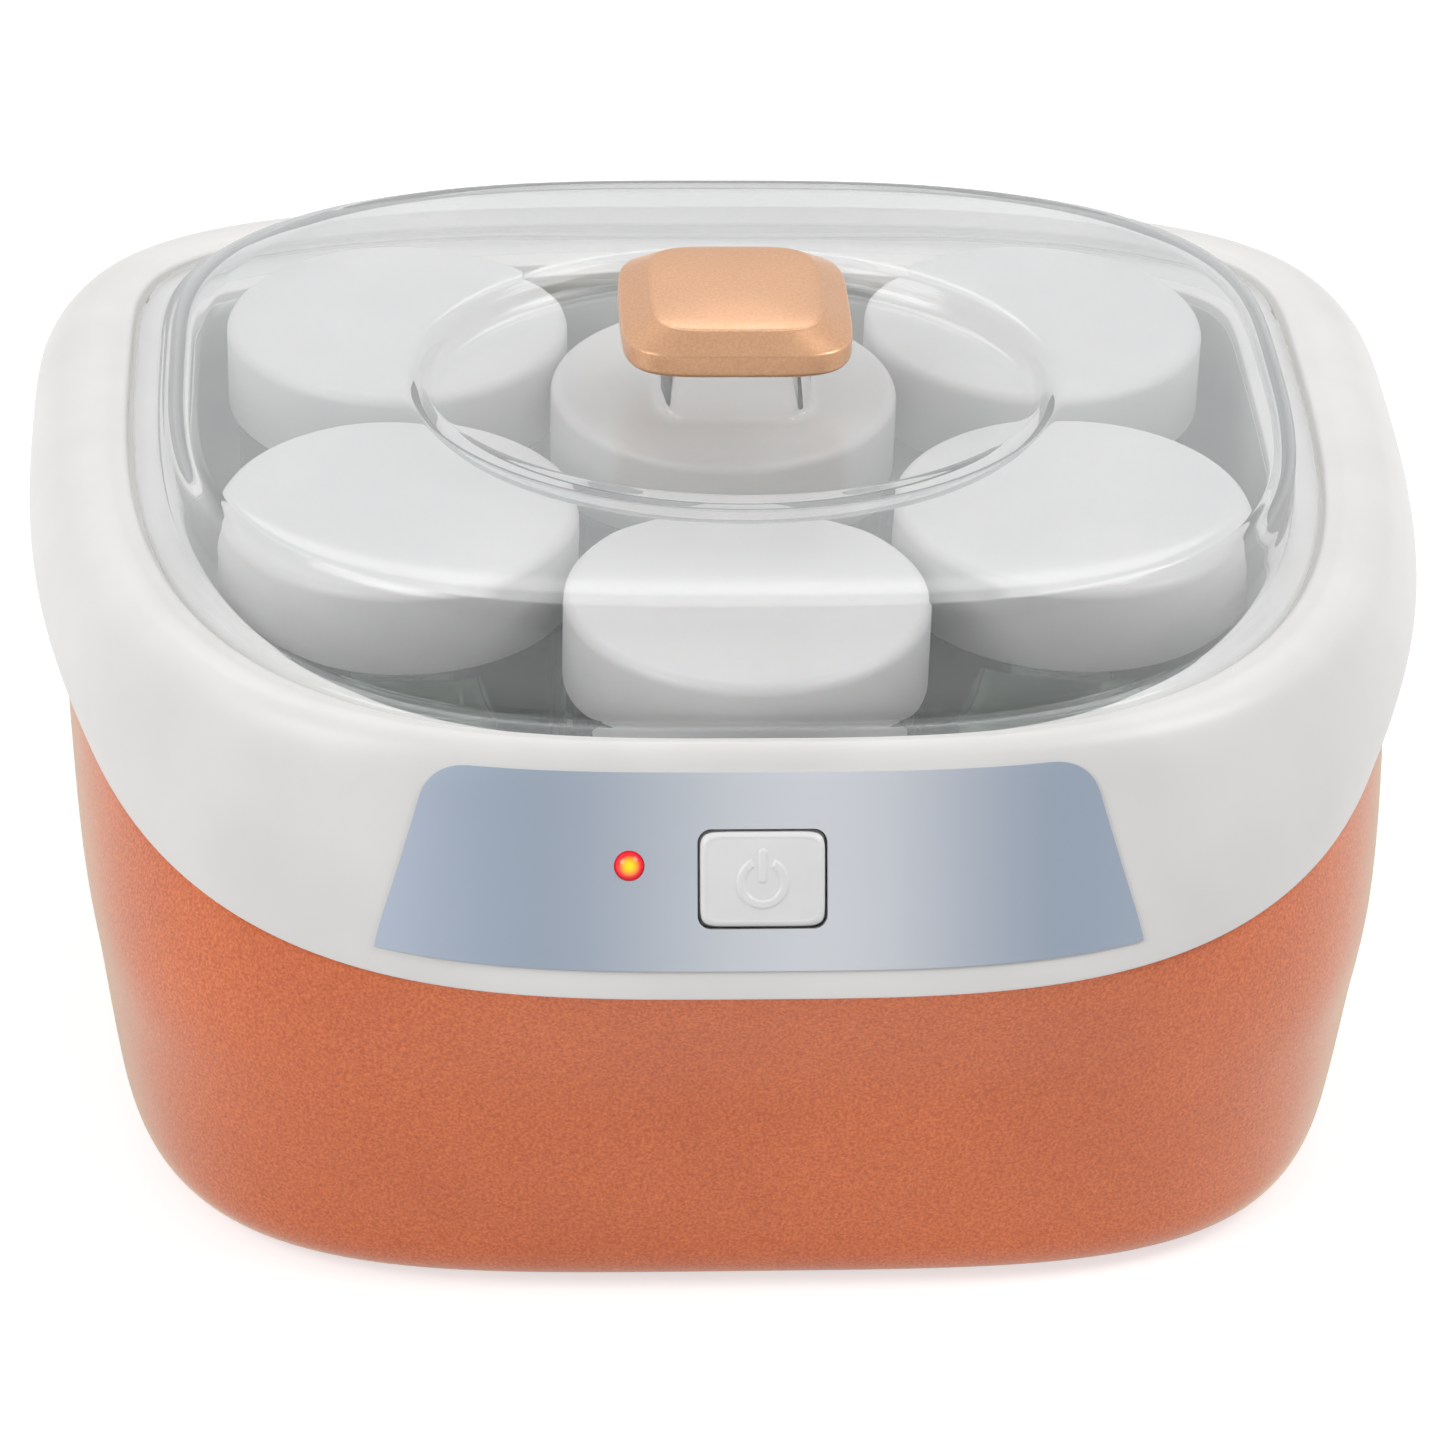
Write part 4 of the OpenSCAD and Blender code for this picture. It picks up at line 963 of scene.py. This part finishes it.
dish = dish_levels((60.6, 135), (59.6, 134.9), (58.6, 134.5), (57.7, 133.5), (56.9, 131.6),
                   (56.2, 130.4), (55.3, 129.8), (54, DISH_Z))
dish += [oval(40, 33, DISH_Z, 0, 2.4), oval(25, 22, DISH_Z, 1, 3.6)]
pedestal_up = [pedestal_level(-2.4, DISH_Z, 6), pedestal_level(-1.1, DISH_Z + 0.25),
               pedestal_level(-0.3, DISH_Z + 0.8), pedestal_level(0, DISH_Z + 1.8),
               pedestal_level(0.1, PEDESTAL_TOP - 1), pedestal_level(0.4, PEDESTAL_TOP - 0.3),
               pedestal_level(1, PEDESTAL_TOP), oval(8, 7.6, PEDESTAL_TOP, KNOB_Y, 3),
               oval(2.2, 2.2, PEDESTAL_TOP, KNOB_Y)]
hollow = [oval(2.2, 2.2, PEDESTAL_TOP - COVER_T, KNOB_Y),
          oval(7, 6.6, PEDESTAL_TOP - COVER_T, KNOB_Y, 3),
          pedestal_level(3.2, PEDESTAL_TOP - COVER_T), pedestal_level(2.5, PEDESTAL_TOP - 2.8),
          pedestal_level(2.3, PEDESTAL_TOP - 4), pedestal_level(2.0, 129),
          pedestal_level(1.4, 127.9), pedestal_level(0.2, 127.3, 6)]
under_dish = [oval(25, 22, 127.3, 1, 3.6), oval(40, 33, 127.3, 0, 2.4)]
under_dish += dish_levels((55.2, 127.3), (57.2, 127.7), (58.6, 129), (59.4, 130.8), (60.4, 132.2))
under_dish += [oval(62, 51.4, 132.7, DISH_Y)]
cover_levels = np.concatenate([
    through(cover_outside, 8), dish, pedestal_up, hollow, under_dish,
    through(cover_inside, 8)])
add_piece("clear_cover", hoop_mesh("clear_cover", cover_levels), "cover", cover_finish,
          ["cover_shell"], 50)

# %% [markdown]
# ## Knob
# The knob is a low pad, nearly square, with rounded corners: a short upright band, a broad bevel
# and a slightly crowned top. The bevel and the top meet in soft edges.

# %% Knob
KNOB_HALF, KNOB_FOOT = 21.3, 141.1
KNOB_STEPS = [(4.0, 4.0, 0.0, 4.8), (1.6, 1.6, 0.05, 4.8), (0.7, 0.7, 0.35, 4.8),
              (0.15, 0.15, 1.0, 4.8), (0, 0, 1.8, 4.8), (0.05, 0.05, 4.3, 4.8),
              (0.25, 0.25, 4.85, 4.8), (0.9, 0.8, 5.3, 4.8), (5.0, 3.7, 7.75, 4.6),
              (5.6, 4.2, 8.05, 4.6), (6.3, 4.9, 8.25, 4.6), (8.4, 7, 8.55, 4.4),
              (12, 11, 8.85, 3.8), (16, 15, 9.05, 3), (19.5, 19.1, 9.1, 2)]
knob_levels = [oval(KNOB_HALF - side, KNOB_HALF - end, KNOB_FOOT + rise, KNOB_Y, n)
               for side, end, rise, n in KNOB_STEPS]
add_piece("knob_pad", capped_mesh("knob_pad", through(knob_levels, 4), 192), "cover",
          knob_finish, ["knob"], 50)

# %% [markdown]
# ## Cord bushing
# The cord goes in at the rear through a soft rubber bushing with a rounded collar outside. It is a
# turned ring, worked out upright and then laid along the cord's axis.

# %% Cord bushing
BORE_R = 3.4
bushing_profile = np.concatenate([
    [[BORE_R, 97.3], [BORE_R + 0.3, 97.0], [6.1, 97], [6.4, 98.2], [6.6, 98.4], [7.4, 101],
     [7.4, 101.2], [6.4, 101.3], [6.4, 108.3], [8.1, 108.3], [8.4, 108.5], [8.4, 109.6]],
    arc(6.9, 109.6, 1.4, 20, 90, 6), [[BORE_R + 0.5, 111], [BORE_R, 110.5]]])
bushing_mesh = moved(turned_mesh("cord_bushing_ring", bushing_profile, 0, 0, 64), at_cord)
add_piece("cord_bushing_ring", flipped(bushing_mesh), "housing", rubber_finish,
          ["cord_bushing"])

# %% [markdown]
# ## Floor, light and background
# The object stands on a plain white floor, which keeps its soft shadow. Three large plain lamps,
# in front on the left, on the right and above the rear, with a pale world that is brighter at the
# sides and the rear, give long soft highlights without clipping the white plastics.

# %% Floor
def floor_white(name):
    """A matt white floor that looks pure white where it is fully lit: a part of its brightness is
    its own, and only for rays that look at it, so it casts no light on the object."""
    material, tree, place = new_finish(name)
    shade = mottle(tree, place, 300, "#C8C8C8", "#CBCBCB")
    matt = node(tree, "ShaderNodeBsdfDiffuse", [("Color", shade)]).outputs[0]
    glow = node(tree, "ShaderNodeEmission", in_Strength=0.62).outputs[0]
    both = node(tree, "ShaderNodeAddShader", [(0, matt), (1, glow)]).outputs[0]
    looking = any_ray(tree, "Camera", "Glossy", "Transmission")
    close_finish(tree, blend(tree, looking, matt, both))
    return material


span = 4000.0
floor_points = np.array([[-span, -span, 0], [span, -span, 0], [span, span, 0], [-span, span, 0]])
floor = placed("floor", mesh_from("floor", floor_points, np.array([[0, 1, 2, 3]])))
finish_on(floor, floor_white("white floor"))


# %% Lamps
TARGET = (0, 0, 0.08)


def soft_lamp(name, where, width, height, watts):
    """A rectangular lamp at a place in metres that faces the middle of the object."""
    data = bpy.data.lights.new(name, "AREA")
    data.shape, data.size, data.size_y, data.energy = "RECTANGLE", width, height, watts
    lamp = placed(name, data)
    ray = np.array(TARGET) - np.array(where)
    flat = math.hypot(ray[0], ray[1])
    lamp.location = where
    lamp.rotation_euler = (math.atan2(flat, -ray[2]), 0, math.atan2(ray[1], ray[0]) - math.pi / 2)


soft_lamp("left_window", (-1.1, -0.7, 1.1), 0.9, 0.7, 9.5)
soft_lamp("right_window", (1.0, -0.3, 1.3), 0.7, 0.7, 8)
soft_lamp("rear_top", (0, 1.1, 1.4), 1.2, 0.5, 5)

# %% World
world = bpy.data.worlds.new("pale room")
bpy.context.scene.world = world
world.use_nodes = True
tree = world.node_tree
tree.nodes.clear()
towards = node(tree, "ShaderNodeSeparateXYZ",
               [("Vector", node(tree, "ShaderNodeTexCoord").outputs["Generated"])])
depth = ranged(tree, towards.outputs["Y"], (-1, 1), (0.31, 0.64))
aside = node(tree, "ShaderNodeMath", [(0, towards.outputs["X"]), (1, towards.outputs["X"])],
             operation="MULTIPLY")
strength = node(tree, "ShaderNodeMath", [(0, aside.outputs[0]), (2, depth)],
                operation="MULTIPLY_ADD", in_1=0.5)
room = node(tree, "ShaderNodeBackground", [("Strength", strength.outputs[0])],
            in_Color=colour("#FFFFFF")).outputs[0]
white = node(tree, "ShaderNodeBackground", in_Color=colour("#FFFFFF"), in_Strength=1.0).outputs[0]
looking = any_ray(tree, "Camera", "Transmission")
node(tree, "ShaderNodeOutputWorld", [("Surface", blend(tree, looking, room, white))])
bpy.context.scene.view_settings.view_transform = "Standard"
